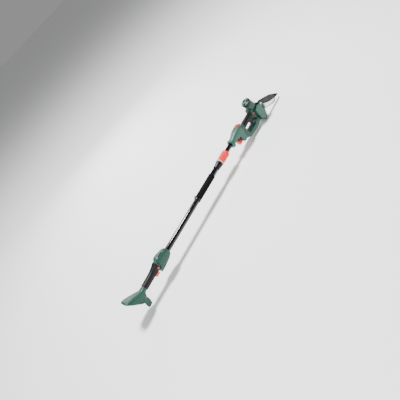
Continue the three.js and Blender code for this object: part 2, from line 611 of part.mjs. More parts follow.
function sawTriggerParts() {
  const { back, front, halfWidth, low } = sawTrigger;
  const face = new THREE.Shape();
  const plateLow = gripLow + 4;
  face.moveTo(back, plateLow + 1);
  face.lineTo(back + 1, low + 8);
  face.quadraticCurveTo(back + 2, low, back + 9, low);
  face.quadraticCurveTo(back + 16, low + 9, front, low + 12);
  face.lineTo(front, plateLow + 1);
  face.closePath();
  const blade = slabY(face, -halfWidth, halfWidth, 1.5, 3);
  const plate = box(back + 1, front - 1, -8.2, 8.2, plateLow, plateLow + 2.2);
  const pusher = box(back + 12, back + 18, -3, 3, plateLow + 2, plateLow + 4.6);
  part("saw_trigger", union([blade, plate, pusher]), black);
  const springTop = sawGrip.z + 1.2;
  part("saw_trigger_spring", coil(back + 6, 0, plateLow + 2.5, springTop, 2.6, 0.5, 4), steel);
  const end = 18 + sawLockOff.proud;
  const button = rodY(-end, end, sawLockOff.radius, sawLockOff.x, sawLockOff.z);
  part("saw_lock_off", button.subtract(box(1245, 1268, -9, 9, sawLockOff.z + 3, 20)), red);
}

// ---- motor and gears ------------------------------------------------------------

// A bevel gear about +X with its cone's apex at the origin; phase turns it in tooth pitches.
function bevelGear(teeth, other, phase, hubRadius, hubEnd, bore) {
  const cone = Math.atan(teeth / other);
  const outer = (gears.module / 2) * Math.hypot(teeth, other);
  const inner = outer - gears.face;
  const [addendum, dedendum] = [0.8 * gears.module, 1.1 * gears.module];
  const halfTooth = 0.18 * Math.PI * gears.module;
  const slope = Math.tan(rad(20));
  const along = (distance, height) => {
    const h = (height * distance) / outer;
    return [
      distance * Math.cos(cone) - h * Math.sin(cone),
      distance * Math.sin(cone) + h * Math.cos(cone),
    ];
  };
  const ring = (distance) =>
    [
      [-dedendum - 0.4, 1], [-dedendum - 0.4, -1], [addendum, -1], [addendum, 1],
    ].map(([height, side]) => {
      const [x, r] = along(distance, height);
      const half = ((halfTooth - slope * height) * distance) / outer;
      return v3(x, side * half, r);
    });
  const tooth = loft([ring(inner + gap), ring(outer - gap)]);
  const blank = turned([
    [along(inner, -dedendum)[0], bore], along(inner, -dedendum), along(outer, -dedendum),
    [along(outer, -dedendum)[0] + 1.5, along(outer, -dedendum)[1] - 0.5],
    [along(outer, -dedendum)[0] + 1.5, hubRadius], [hubEnd, hubRadius], [hubEnd, bore],
    [along(inner, -dedendum)[0], bore],
  ], { sides: 24 });
  const ringOfTeeth = Array.from({ length: teeth }, (_, i) =>
    tooth.rotate([(360 * (i + phase)) / teeth, 0, 0]),
  );
  return union([blank, ...ringOfTeeth]);
}

function drive() {
  const { canRadius, canStart, canEnd, capEnd, podRadius } = motor;
  const can = pipe(canStart, canEnd, canRadius, canRadius - 5);
  const backPlate = pipe(canStart - 2, canStart + 0.5, canRadius - 4, shaftRadius + slide);
  const bearingPlate = pipe(canEnd - 2, canEnd, canRadius - 4.5, shaftRadius + slide);
  part("motor_can", alongMotor(union([can, backPlate, bearingPlate])), steel);
  const core = pipe(canStart + 3, canEnd - 5, canRadius - 6, shaftRadius - 0.5, { sides: 24 });
  part("motor_rotor", alongMotor(core.add(rod(21.5, canEnd + 9, shaftRadius, { sides: 20 }))), copper);

  const hubBore = shaftRadius + gap / 2;
  const fanStart = canEnd + 2;
  const hub = pipe(fanStart, fanStart + 6, 7, hubBore, { sides: 20 });
  const vane = box(-3, 3, -0.6, 0.6, 6.5, 19).rotate([0, 0, 12]).translate([fanStart + 3, 0, 0]);
  const vanes = Array.from({ length: 9 }, (_, i) => vane.rotate([40 * i, 0, 0]));
  part("cooling_fan", alongMotor(union([hub, ...vanes])), pale);

  const capStart = capEnd - 17 + gap;
  const cap = turned([
    [capStart, podRadius - 5], [capStart, podRadius + 0.6], [capEnd - 3, podRadius + 0.6],
    [capEnd, podRadius - 2.5], [capEnd, 0], [capEnd - 3, 0], [capEnd - 3, podRadius - 5],
    [capStart, podRadius - 5],
  ], { sides: 28 });
  const ports = Array.from({ length: 3 }, (_, i) =>
    box(capEnd - 4, capEnd + 1, -6.5, 6.5, 8, 21).rotate([120 * i, 0, 0]),
  );
  part("motor_end_cap", alongMotor(cap.subtract(union(ports))), black);

  const pinion = bevelGear(gears.pinionTeeth, gears.wheelTeeth, 0, 5.6, 34, shaftRadius + gap / 2);
  part("bevel_pinion", alongMotor(pinion.rotate([90, 0, 0])), steel);

  const wheel = bevelGear(gears.wheelTeeth, gears.pinionTeeth, 0.5, 8, 12, shaftRadius + gap / 2);
  const aimed = wheel.rotate([180, 0, 0]).rotate([0, 0, -90]).rotate([0, -motorLean, 0]);
  part("bevel_gear", aimed.translate([sprocketCentre.x, 0, sprocketCentre.z]), steel);
  const { x, z } = sprocketCentre;
  part("sprocket_shaft", rodY(bar.y - 8, -3, shaftRadius, x, z), steel);
  const race = pipeY(bearing.y0, bearing.y1, bearing.radius, shaftRadius + slide / 2, x, z, 28);
  part("shaft_bearing", race, steel);
  part("drive_sprocket", sprocket(driveTeeth, bar.rootRadius - 1.5, 3.5, shaftRadius + gap / 2, x, z), steel);

  const cup = pipeY(-13, 12, gearboxRadius, gearboxRadius - 2.5, x, z, 24)
    .add(pipeY(-13.1, -11.8, gearboxRadius - 1, 12.5, x, z, 24))
    .subtract(alongMotor(rod(10, 40, 11, { sides: 16 })));
  part("gearbox_housing", cup, steel);
}

// A toothed wheel about Y with pointed teeth that stand halfway between the chain's links.
function sprocket(teeth, tip, width, bore, x, z) {
  const shape = new THREE.Shape();
  for (let i = 0; i < teeth; i++) {
    const angle = (2 * Math.PI * i) / teeth;
    const step = (2 * Math.PI) / teeth;
    const at = (r, a) => [r * Math.cos(a), r * Math.sin(a)];
    const start = at(tip - 4, angle - step / 2);
    if (i === 0) shape.moveTo(...start);
    shape.lineTo(...at(tip - 3.4, angle - step * 0.28));
    shape.lineTo(...at(tip, angle - step * 0.1));
    shape.lineTo(...at(tip, angle + step * 0.1));
    shape.lineTo(...at(tip - 3.4, angle + step * 0.28));
    if (i + 1 < teeth) shape.lineTo(...at(tip - 4, angle + step / 2));
  }
  shape.closePath();
  const wheel = slabY(shape, bar.y - width / 2, bar.y + width / 2);
  return wheel.subtract(rodY(-60, 60, bore, 0, 0)).translate([x, 0, z]);
}

// ---- bar, chain, cover and guard ------------------------------------------------------------

// The outline of a belt round two circles, the first at the origin and the second along +X.
function beltOutline(first, second, distance) {
  const lean = Math.asin((first - second) / distance);
  const shape = new THREE.Shape();
  shape.absarc(0, 0, first, Math.PI / 2 - lean, (3 * Math.PI) / 2 + lean);
  shape.absarc(distance, 0, second, (3 * Math.PI) / 2 + lean, (5 * Math.PI) / 2 - lean);
  shape.closePath();
  return shape;
}

function barAndChain() {
  const { y, thick, length, rootRadius, noseRadius } = bar;
  const shape = beltOutline(rootRadius - gap, noseRadius - gap, length);
  const plate = slabY(shape, y - thick / 2, y + thick / 2, 0, 8);
  const slot = slabY(outline([[24, -4.5], [46, -4.5], [46, 4.5], [24, 4.5]], 4), y - 5, y + 5);
  const nosePocket = rodY(y - 0.9, y + 0.9, noseRadius + 5, length, 0, 28)
    .subtract(box(0, length - noseRadius, -50, 0, -50, 50));
  const body = plate
    .subtract(slot)
    .subtract(rodY(y - 5, y + 5, rootRadius + 2, 0, 0, 28))
    .subtract(nosePocket)
    .add(rodY(y - 1.2, y + 1.2, 2.8, length, 0, 14))
    .subtract(rodY(y - 5, y + 5, 1.6, 53, 6, 12));
  part("guide_bar", alongBar(body), steel);

  const halfChain = chain.thick / 2;
  const outside = beltOutline(rootRadius + chain.height, noseRadius + chain.height, length);
  const loop = slabY(outside, y - halfChain, y + halfChain, 0, 9)
    .subtract(slabY(beltOutline(rootRadius, noseRadius, length), y - 5, y + 5, 0, 9));
  part("saw_chain", alongBar(loop), { ...steel, color: 0x5b5d60 });

  const nose = sprocket(noseTeeth, noseRadius - 1.5, 1.2, 2.8 + slide, length, 0);
  part("nose_sprocket", alongBar(nose), steel);

  const end = bar.y - 16;
  part("bar_stud", rodY(end, -10, barStud.radius, barStud.x, barStud.z, 14), steel);
  const nut = pipeY(end - 1.5, barNut.base, 9, barStud.radius + gap / 2, barStud.x, barStud.z, 18)
    .add(pipeY(end + 1, end + 3, barNut.radius, barStud.radius + gap / 2, barStud.x, barStud.z, 18));
  part("bar_nut", nut, black);
  const tension = rod(18, 34, 1.2, { y: bar.y + 4.2, z: 12, sides: 12 });
  part("tension_screw", alongBar(tension), steel);
}


function cover() {
  const inner = sawWidth.right - gap;
  const shellBody = slabY(outline(coverCorners, 8), coverOuter, inner, edge);
  const hollow = slabY(outline(inset(coverCorners, 2.5), 5), coverOuter + 2.5, inner + 1);
  const exit = alongBar(box(18, 100, coverOuter + 6, 0, -27, 27));
  const guardRoom = slabY(outline([[1306, -13], [1400, -57], [1400, 60], [1306, 60]]), coverOuter + 6, 0);
  const body = shellBody
    .subtract(hollow)
    .subtract(exit)
    .subtract(guardRoom)
    .add(rodY(coverOuter + 1.5, barNut.boss, barNut.radius + 2, barStud.x, barStud.z, 24))
    .subtract(rodY(-60, barNut.base + gap, barNut.radius + slide, barStud.x, barStud.z, 24))
    .subtract(rodY(-60, 0, barStud.radius + gap, barStud.x, barStud.z, 14))
    .subtract(rodY(-60, 0, guardPin.radius + gap, guardPin.x, guardPin.z, 14));
  part("sprocket_cover", body, lightGreen);
}

const guardCorners = [[1312, -3], [1318, 11], [1338, 11], [1383, -9], [1430, -32], [1486, -76],
  [1482, -84], [1444, -76], [1396, -58], [1352, -32], [1320, -13]];

function guard() {
  const right = -32.2;
  const left = sawWidth.right - 0.5;
  const channel = slabY(outline(guardCorners, 4), right, left, 1.2);
  const room = slabY(
    outline([[1328, -67], [1328, 1], [1380, -14], [1428, -37], [1474, -74], [1490, -130]], 4),
    right + 1.9, left - 1.7,
  );
  const hole = rodY(-60, 0, guardPin.radius + slide, guardPin.x, guardPin.z, 16);
  const over = 1 + chain.height;
  const belt = beltOutline(bar.rootRadius + over, bar.noseRadius + over, bar.length);
  const chainRoom = alongBar(slabY(belt, right + 1.9, left - 1.7, 0, 12));
  // the room that the chain needs in the guard as the guard swings up
  const clearOfChain = union([0, 10, 20, 30, 40, 50, 60].map((angle) =>
    chainRoom.translate([-guardPin.x, 0, -guardPin.z]).rotate([0, angle, 0])
      .translate([guardPin.x, 0, guardPin.z]),
  ));
  part("chain_guard", channel.subtract(room).subtract(clearOfChain).subtract(hole), black);
  const pin = rodY(coverOuter - 1.2, -12, guardPin.radius, guardPin.x, guardPin.z, 16);
  const head = rodY(coverOuter - 2.2, coverOuter - gap, guardPin.radius + 2.2, guardPin.x, guardPin.z, 16);
  part("guard_pin", pin.add(head), steel);
}

handleShells();
handleParts();
handleTrigger();
handleLockOff();
pole();
innerPole();
adapter();
adapterButton();
clampKnob();
sawShells();
sawParts();
sawTriggerParts();
drive();
barAndChain();
cover();
guard();

export default root;
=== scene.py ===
import json
import math

import bmesh
import bpy
import numpy as np
from mathutils import Matrix, Vector

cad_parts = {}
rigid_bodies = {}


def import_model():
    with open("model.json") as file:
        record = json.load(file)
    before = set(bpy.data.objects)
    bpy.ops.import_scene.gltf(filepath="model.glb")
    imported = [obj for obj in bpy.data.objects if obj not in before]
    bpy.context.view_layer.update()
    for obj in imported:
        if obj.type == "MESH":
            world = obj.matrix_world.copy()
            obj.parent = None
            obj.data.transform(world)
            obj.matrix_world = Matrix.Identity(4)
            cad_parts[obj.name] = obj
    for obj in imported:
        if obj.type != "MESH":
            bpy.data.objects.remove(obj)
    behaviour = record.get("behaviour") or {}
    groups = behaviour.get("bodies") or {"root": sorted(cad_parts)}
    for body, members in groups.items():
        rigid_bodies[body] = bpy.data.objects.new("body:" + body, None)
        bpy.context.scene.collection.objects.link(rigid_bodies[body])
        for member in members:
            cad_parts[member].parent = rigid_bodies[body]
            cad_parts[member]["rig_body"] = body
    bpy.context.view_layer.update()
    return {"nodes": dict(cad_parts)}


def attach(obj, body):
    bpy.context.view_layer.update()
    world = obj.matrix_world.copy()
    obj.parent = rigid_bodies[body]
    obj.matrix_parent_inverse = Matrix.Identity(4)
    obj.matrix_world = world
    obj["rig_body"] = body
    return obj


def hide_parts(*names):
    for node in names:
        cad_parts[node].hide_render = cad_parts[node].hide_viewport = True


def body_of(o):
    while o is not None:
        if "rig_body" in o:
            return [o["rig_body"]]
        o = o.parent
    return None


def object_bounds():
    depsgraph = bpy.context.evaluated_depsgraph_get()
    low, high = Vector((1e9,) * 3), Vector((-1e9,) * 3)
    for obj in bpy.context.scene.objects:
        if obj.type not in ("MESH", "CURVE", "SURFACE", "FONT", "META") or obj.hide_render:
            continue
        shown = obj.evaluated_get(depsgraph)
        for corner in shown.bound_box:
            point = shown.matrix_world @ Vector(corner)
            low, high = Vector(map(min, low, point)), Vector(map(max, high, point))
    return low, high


# Telescoping pole saw. Metres; +X up the pole, +Y to its left, +Z up, away from the triggers.
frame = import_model()
nodes = frame["nodes"]
mm = 0.001
seatBack = 9.0  # the battery seat's frame starts this far behind the pole's own zero, in mm
print("frame loaded:", len(nodes), "nodes")

def finishMesh(name, mesh, body, material, replaced=(), sharp=38.0, merge=1e-6):
    # doubles merged, normals outwards, edges steeper than sharp kept crisp, then the piece rides on its body
    work = bmesh.new()
    work.from_mesh(mesh)
    bmesh.ops.remove_doubles(work, verts=work.verts, dist=merge)
    bmesh.ops.recalc_face_normals(work, faces=work.faces)
    work.to_mesh(mesh)
    work.free()
    mesh.shade_smooth()
    mesh.set_sharp_from_angle(angle=math.radians(sharp))
    piece = bpy.data.objects.new(name, mesh)
    bpy.context.scene.collection.objects.link(piece)
    mesh.materials.clear()
    mesh.materials.append(material)
    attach(piece, body)
    if replaced:
        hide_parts(*replaced)
    return piece


def meshOf(points, faces):
    mesh = bpy.data.meshes.new("surface")
    mesh.from_pydata(np.asarray(points, float).reshape(-1, 3).tolist(), [], faces)
    mesh.update()
    return mesh


def quads(rows, columns, closeRows=False):
    # face corners of a grid whose columns run round; rows may join up as well
    r = np.arange(rows if closeRows else rows - 1)[:, None]
    c = np.arange(columns)[None, :]
    nextRow, nextColumn = (r + 1) % rows, (c + 1) % columns
    corners = [r * columns + c, r * columns + nextColumn, nextRow * columns + nextColumn, nextRow * columns + c]
    return np.stack(corners, -1).reshape(-1, 4).tolist()


def skin(rings, closed=False):
    # a surface through rings of points, with flat ends unless the rings join up
    rows, columns = rings.shape[:2]
    faces = quads(rows, columns, closeRows=closed)
    if not closed:
        faces.append(list(range(columns))[::-1])
        faces.append(list(range((rows - 1) * columns, rows * columns)))
    return meshOf(rings, faces)


def joined(meshes):
    points, faces, first = [], [], 0
    for mesh in meshes:
        co = np.empty(len(mesh.vertices) * 3)
        mesh.vertices.foreach_get("co", co)
        points.append(co.reshape(-1, 3))
        faces += [[first + v for v in polygon.vertices] for polygon in mesh.polygons]
        first += len(mesh.vertices)
    return meshOf(np.concatenate(points), faces)


def smoothThrough(knots, values, at):
    # monotone cubic: each column passes through its values with no overshoot between them
    step = np.diff(knots)[:, None]
    slope = np.diff(values, axis=0) / step
    both = slope[:-1] * slope[1:]
    total = slope[:-1] + slope[1:]
    inner = np.where(both > 0, 2 * both / np.where(np.abs(total) > 1e-9, total, 1), 0)
    tangent = np.vstack([slope[:1], inner, slope[-1:]])
    i = np.clip(np.searchsorted(knots, at, side="right") - 1, 0, len(knots) - 2)
    h = step[i]
    t = ((at - knots[i])[:, None]) / h
    return ((1 + 2 * t) * (1 - t) ** 2 * values[i] + t * (1 - t) ** 2 * h * tangent[i]
            + t * t * (3 - 2 * t) * values[i + 1] + t * t * (t - 1) * h * tangent[i + 1])


def sectionRings(table, rings=80, sides=72, grow=0.0, first=0, last=-1):
    # each row of the table is top x, top z, bottom x, bottom z, half width, power; a ring is the superellipse
    # |a / tall| ** power + |b / half| ** power = 1 between the two points, and grow moves it outwards, in mm;
    # first and last are the rows where the rings start and stop
    table = np.asarray(table, float)
    middle = (table[:, 0:2] + table[:, 2:4]) / 2
    knots = np.concatenate([[0], np.cumsum(np.linalg.norm(np.diff(middle, axis=0), axis=1))])
    at = np.linspace(knots[first], knots[last], rings)
    row = smoothThrough(knots, table, at)
    top, bottom = row[:, 0:2], row[:, 2:4]
    centre, up = (top + bottom) / 2, top - bottom
    length = np.linalg.norm(up, axis=1, keepdims=True)
    up = up / length
    out = np.broadcast_to(np.asarray(grow, float).reshape(-1, 1), (rings, 1))
    tall, half = length / 2 + out, row[:, 4:5] + out
    angle = 2 * np.pi * (np.arange(sides) + 0.5) / sides
    c, s = np.cos(angle)[None, :], np.sin(angle)[None, :]
    power = 2 / row[:, 5:6]
    a = np.sign(c) * np.abs(c) ** power * tall
    b = np.sign(s) * np.abs(s) ** power * half
    x = centre[:, 0:1] + up[:, 0:1] * a
    z = centre[:, 1:2] + up[:, 1:2] * a
    return np.stack([(x + seatBack) * mm, -b * mm, z * mm], -1)


def roundedOutline(corners, radius, steps=6):
    # every corner of a closed outline becomes a quadratic curve that starts a radius before it
    here = np.asarray(corners, float)
    before, after = np.roll(here, 1, 0), np.roll(here, -1, 0)
    t = np.linspace(0, 1, steps)[None, :, None]

    def reach(other):
        away = other - here
        length = np.linalg.norm(away, axis=1, keepdims=True)
        return here + away / length * np.minimum(radius, length * 0.45)
    p, q = reach(before)[:, None], reach(after)[:, None]
    m = here[:, None]
    return ((1 - t) ** 2 * p + 2 * t * (1 - t) * m + t * t * q).reshape(-1, 2)


def insetOutline(outline, distance):
    # each point moved along the mean of its two edge normals; the outline runs anticlockwise
    before, after = outline - np.roll(outline, 1, 0), np.roll(outline, -1, 0) - outline
    before /= np.linalg.norm(before, axis=1, keepdims=True) + 1e-9
    after /= np.linalg.norm(after, axis=1, keepdims=True) + 1e-9
    turn = np.maximum(1 + (before * after).sum(1, keepdims=True), 0.3)
    both = before + after
    return outline + np.stack([-both[:, 1], both[:, 0]], 1) / turn * distance


def slab(outline, y0, y1, bevel=0.0, steps=4):
    # an x-z outline carried along Y; its long edges are quarter circles of radius bevel, in mm
    outline = np.asarray(outline, float)
    if bevel > 0:
        angle = np.linspace(0, np.pi / 2, steps + 1)
        offsets = bevel * (1 - np.sin(angle))
        depths = bevel * (1 - np.cos(angle))
        levels = [(o, y0 + d) for o, d in zip(offsets, depths)]
        levels += [(o, y1 - d) for o, d in zip(offsets[::-1], depths[::-1])]
    else:
        levels = [(0.0, y0), (0.0, y1)]
    rings = []
    for offset, y in levels:
        ring = insetOutline(outline, offset) if offset > 1e-9 else outline
        rings.append(np.stack([(ring[:, 0] + seatBack) * mm, np.full(len(ring), y * mm), ring[:, 1] * mm], 1))
    return skin(np.array(rings))


def turnedRings(profile, sides=64, ripple=None):
    # a profile of along and radius pairs, in mm, turned about X; ripple(along, angle, radius) reshapes it
    profile = np.asarray(profile, float)
    angle = 2 * np.pi * np.arange(sides) / sides
    along = np.repeat(profile[:, 0:1], sides, 1)
    radius = np.repeat(profile[:, 1:2], sides, 1)
    turn = np.broadcast_to(angle[None, :], radius.shape)
    if ripple is not None:
        radius = ripple(along, turn, radius)
    return np.stack([along, radius * np.cos(turn), radius * np.sin(turn)], -1)


def softProfile(profile, radius=0.8, steps=4):
    # an open profile with its inner corners rounded by quadratic curves
    p = np.asarray(profile, float)
    rows = [p[:1]]
    t = np.linspace(0, 1, steps)[:, None]
    for i in range(1, len(p) - 1):
        a, b = p[i - 1] - p[i], p[i + 1] - p[i]
        la, lb = np.linalg.norm(a), np.linalg.norm(b)
        start = p[i] + a / la * min(radius, la * 0.45)
        end = p[i] + b / lb * min(radius, lb * 0.45)
        rows.append((1 - t) ** 2 * start + 2 * t * (1 - t) * p[i] + t * t * end)
    rows.append(p[-1:])
    return np.concatenate(rows)


def placedAlong(rings, origin, direction):
    # turns the X axis to a direction and moves the rings to an origin, both in mm on the pole's own zero
    aim = Vector(direction).normalized()
    turn = np.array(Vector((1, 0, 0)).rotation_difference(aim).to_matrix())
    points = rings @ turn.T + np.asarray(origin, float)
    return (points + np.array([seatBack, 0, 0])) * mm


def turnedPiece(profile, sides=64, origin=(0, 0, 0), direction=(1, 0, 0), ripple=None, closed=False):
    return skin(placedAlong(turnedRings(profile, sides, ripple), origin, direction), closed)


def blockBetween(low, high):
    x0, y0, z0 = low
    x1, y1, z1 = high
    return slab([[x0, z0], [x1, z0], [x1, z1], [x0, z1]], y0, y1)


def turnedInPlane(mesh, degrees, about=(0.0, 0.0), shift=(0.0, 0.0)):
    # turns a mesh about Y through a point of the x-z plane, then shifts it, in mm
    move = Matrix.Translation(Vector(((about[0] + shift[0] + seatBack) * mm, 0, (about[1] + shift[1]) * mm)))
    back = Matrix.Translation(Vector((-(about[0] + seatBack) * mm, 0, -about[1] * mm)))
    mesh.transform(move @ Matrix.Rotation(math.radians(degrees), 4, "Y") @ back)
    return mesh


def modified(mesh, kind, **settings):
    # a mesh with one modifier applied to it
    worker = bpy.data.objects.new("worker", mesh)
    bpy.context.scene.collection.objects.link(worker)
    modifier = worker.modifiers.new(kind.lower(), kind)
    for key, value in settings.items():
        setattr(modifier, key, value)
    bpy.context.view_layer.update()
    ready = worker.evaluated_get(bpy.context.evaluated_depsgraph_get())
    made = bpy.data.meshes.new_from_object(ready)
    bpy.data.objects.remove(worker)
    return made


def moulded(meshes, voxel=1.1, rounds=6):
    # overlapping closed bodies melted into one, with small fillets where they meet
    size = voxel * 1.0 * mm
    whole = modified(joined(meshes), "REMESH", mode="VOXEL", voxel_size=size)
    return modified(whole, "SMOOTH", factor=0.5, iterations=rounds)


def carved(mesh, cutters, operation="DIFFERENCE"):
    for cutter in cutters:
        work = bmesh.new()
        work.from_mesh(cutter)
        bmesh.ops.recalc_face_normals(work, faces=work.faces)
        work.to_mesh(cutter)
        work.free()
        other = bpy.data.objects.new("cutter", cutter)
        bpy.context.scene.collection.objects.link(other)
        mesh = modified(mesh, "BOOLEAN", operation=operation, object=other, solver="MANIFOLD")
        bpy.data.objects.remove(other)
    return mesh


def cutAt(mesh, y, keepLeft):
    # the part of a mesh on one side of a plane across Y, closed where it is cut
    work = bmesh.new()
    work.from_mesh(mesh)
    every = list(work.verts) + list(work.edges) + list(work.faces)
    cut = bmesh.ops.bisect_plane(work, geom=every, plane_co=(0, y * mm, 0), plane_no=(0, 1, 0),
                                 clear_inner=keepLeft, clear_outer=not keepLeft)
    edges = [e for e in cut["geom_cut"] if isinstance(e, bmesh.types.BMEdge)]
    bmesh.ops.triangle_fill(work, use_beauty=True, edges=edges)
    made = bpy.data.meshes.new("half")
    work.to_mesh(made)
    work.free()
    return made

def linear(rgb):
    # an sRGB colour of 0 to 255 as the linear one the shader takes
    c = np.asarray(rgb, float) / 255
    return [*np.where(c <= 0.04045, c / 12.92, ((c + 0.055) / 1.055) ** 2.4).tolist(), 1.0]


def moulding(name, colour, rough=0.42, metal=0.0, shine=0.5, grain=1500.0, bump=0.06, mottle=0.05, coat=0.0,
             drawn=None, relief=0.00012, wear=0.0):
    # fine moulded grain as bump, slow mottling of colour and gloss, and paler worn ridges where wear is above 0
    material = bpy.data.materials.new(name)
    material.use_nodes = True
    tree, new = material.node_tree, material.node_tree.nodes.new
    link = tree.links.new
    shader = tree.nodes["Principled BSDF"]
    shader.inputs["Metallic"].default_value = metal
    shader.inputs["Specular IOR Level"].default_value = shine
    shader.inputs["Coat Weight"].default_value = coat
    shader.inputs["Coat Roughness"].default_value = 0.08
    place = new("ShaderNodeTexCoord")
    spread = new("ShaderNodeMapping")
    spread.inputs["Scale"].default_value = drawn or (1, 1, 1)
    link(place.outputs["Object"], spread.inputs["Vector"])

    slow = new("ShaderNodeTexNoise")
    slow.inputs["Scale"].default_value = 34
    slow.inputs["Detail"].default_value = 6
    slow.inputs["Roughness"].default_value = 0.6
    link(place.outputs["Object"], slow.inputs["Vector"])
    base = np.array(linear(colour)[:3])
    shades = new("ShaderNodeValToRGB")
    shades.color_ramp.elements[0].position = 0.3
    shades.color_ramp.elements[0].color = [*(base * (1 - mottle * 1.6)).tolist(), 1]
    shades.color_ramp.elements[1].position = 0.72
    shades.color_ramp.elements[1].color = [*np.minimum(base * (1 + mottle * 1.6) + mottle * 0.01, 1).tolist(), 1]
    link(slow.outputs["Fac"], shades.inputs["Fac"])
    last = shades.outputs["Color"]
    if wear > 0:
        geometry = new("ShaderNodeNewGeometry")
        ridges = new("ShaderNodeMapRange")
        ridges.inputs["From Min"].default_value = 0.53
        ridges.inputs["From Max"].default_value = 0.62
        ridges.inputs["To Max"].default_value = wear
        link(geometry.outputs["Pointiness"], ridges.inputs["Value"])
        scuffed = new("ShaderNodeMix")
        scuffed.data_type = "RGBA"
        scuffed.inputs["B"].default_value = [*np.minimum(base * 1.5 + 0.05, 1).tolist(), 1]
        link(ridges.outputs["Result"], scuffed.inputs["Factor"])
        link(last, scuffed.inputs["A"])
        last = scuffed.outputs["Result"]
    link(last, shader.inputs["Base Color"])

    gloss = new("ShaderNodeMapRange")
    gloss.inputs["To Min"].default_value = max(rough - 0.07, 0.02)
    gloss.inputs["To Max"].default_value = min(rough + 0.09, 1)
    link(slow.outputs["Fac"], gloss.inputs["Value"])
    link(gloss.outputs["Result"], shader.inputs["Roughness"])

    fine = new("ShaderNodeTexNoise")
    fine.inputs["Scale"].default_value = grain
    fine.inputs["Detail"].default_value = 3
    link(spread.outputs["Vector"], fine.inputs["Vector"])
    raised = new("ShaderNodeBump")
    raised.inputs["Strength"].default_value = bump
    raised.inputs["Distance"].default_value = relief
    link(fine.outputs["Fac"], raised.inputs["Height"])
    link(raised.outputs["Normal"], shader.inputs["Normal"])
    return material


def dimpledRubber(name, colour, rough=0.6, spacing=420.0, shine=0.25):
    # soft overmould: small round dimples from a cell pattern over a fine grain
    material = moulding(name, colour, rough=rough, shine=shine, bump=0.1, mottle=0.12)
    tree = material.node_tree
    cells = tree.nodes.new("ShaderNodeTexVoronoi")
    cells.inputs["Scale"].default_value = spacing
    place = next(n for n in tree.nodes if n.type == "TEX_COORD")
    tree.links.new(place.outputs["Object"], cells.inputs["Vector"])
    pits = tree.nodes.new("ShaderNodeBump")
    pits.inputs["Strength"].default_value = 0.35
    pits.inputs["Distance"].default_value = 0.0004
    grainBump = next(n for n in tree.nodes if n.type == "BUMP")
    tree.links.new(cells.outputs["Distance"], pits.inputs["Height"])
    tree.links.new(grainBump.outputs["Normal"], pits.inputs["Normal"])
    shader = tree.nodes["Principled BSDF"]
    tree.links.new(pits.outputs["Normal"], shader.inputs["Normal"])
    return material


finishes = {
    "green_housing": moulding("greenHousing", (24, 66, 54), rough=0.4, shine=0.34, mottle=0.05, wear=0.3),
    # painted highlight: the housing green made lighter to stand in for the light on the camera-facing cover and
    # adapter
    "cover_green": moulding("paintedLightGreen", (42, 86, 73), rough=0.38, shine=0.4, mottle=0.04, wear=0.3),
    "soft_grip": dimpledRubber("softGrip", (6, 6, 7), rough=0.45),
    "foam": moulding("foam", (6, 6, 7), rough=0.85, shine=0.12, grain=1100, bump=0.9, relief=0.0005, mottle=0.15),
    "black_plastic": moulding("blackPlastic", (6, 7, 8), rough=0.34, shine=0.28, mottle=0.1, wear=0.2),
    "red_plastic": moulding("redPlastic", (222, 36, 34), rough=0.34, mottle=0.05, wear=0.15),
    "pale_plastic": moulding("palePlastic", (196, 190, 184), rough=0.45),
    "black_tube": moulding("blackTube", (2, 2, 3), rough=0.14, shine=0.35, coat=0.25, grain=500,
                           drawn=(0.03, 1, 1), bump=0.05),
    "contact_brass": moulding("contactBrass", (205, 166, 84), rough=0.32, metal=1, drawn=(0.1, 1, 1)),
    "red_lead": moulding("redLead", (190, 32, 30), rough=0.5),
    "black_lead": moulding("blackLead", (20, 20, 20), rough=0.55),
    "circuit_board": moulding("circuitBoard", (26, 96, 58), rough=0.45, grain=900, bump=0.3, mottle=0.25),
    "bright_steel": moulding("brightSteel", (205, 208, 211), rough=0.25, metal=1, drawn=(1, 0.08, 1), bump=0.1),
    "bar_steel": moulding("barSteel", (214, 217, 220), rough=0.24, metal=1, grain=700, drawn=(0.03, 1, 1),
                          bump=0.16),
    "chain_steel": moulding("chainSteel", (112, 114, 118), rough=0.34, metal=1, mottle=0.2),
    "gearbox_metal": moulding("gearboxMetal", (150, 153, 156), rough=0.5, metal=1, grain=700, bump=0.35,
                              mottle=0.12),
    "rotor_copper": moulding("rotorCopper", (188, 118, 70), rough=0.35, metal=1, drawn=(1, 0.1, 1), bump=0.2),
}
carried = {
    "black_plastic": ["battery_terminal_block", "handle_switch", "adapter_deck", "clamp_spindle",
                      "saw_terminal_block", "saw_switch"],
    "contact_brass": ["terminal_positive", "terminal_negative", "saw_terminal_positive", "saw_terminal_negative"],
    "bright_steel": ["handle_trigger_spring", "saw_trigger_spring", "bevel_pinion", "bevel_gear", "motor_can",
                     "sprocket_shaft", "shaft_bearing", "drive_sprocket", "nose_sprocket", "bar_stud"],
    "red_lead": ["supply_lead"],
    "black_lead": ["pole_supply_lead", "pole_lead"],
    "pale_plastic": ["clamp_collet", "guide_bush", "cooling_fan"],
    "circuit_board": ["control_board"],
    "rotor_copper": ["motor_rotor"],
    "gearbox_metal": ["gearbox_housing"],
}
for slotName, names in carried.items():
    for name in names:
        nodes[name].data.materials.clear()
        nodes[name].data.materials.append(finishes[slotName])
print("finishes made:", len(finishes))


def shown(name, mesh, slotName, sharp=38.0):
    # a piece that stands for the CAD node of the same name, on that node's body
    body = body_of(nodes[name])[0]
    return finishMesh(name + "_visual", mesh, body, finishes[slotName], [name], sharp)


def showHalves(name, mesh, slotName, seam=0.15):
    # a moulded body in its left and right half, each stopping a seam's half short of the middle plane
    shown(name + "left", cutAt(mesh, seam, True), slotName, 50)
    shown(name + "right", cutAt(mesh, -seam, False), slotName, 50)


def united(meshes):
    return carved(meshes[0], meshes[1:], "UNION")


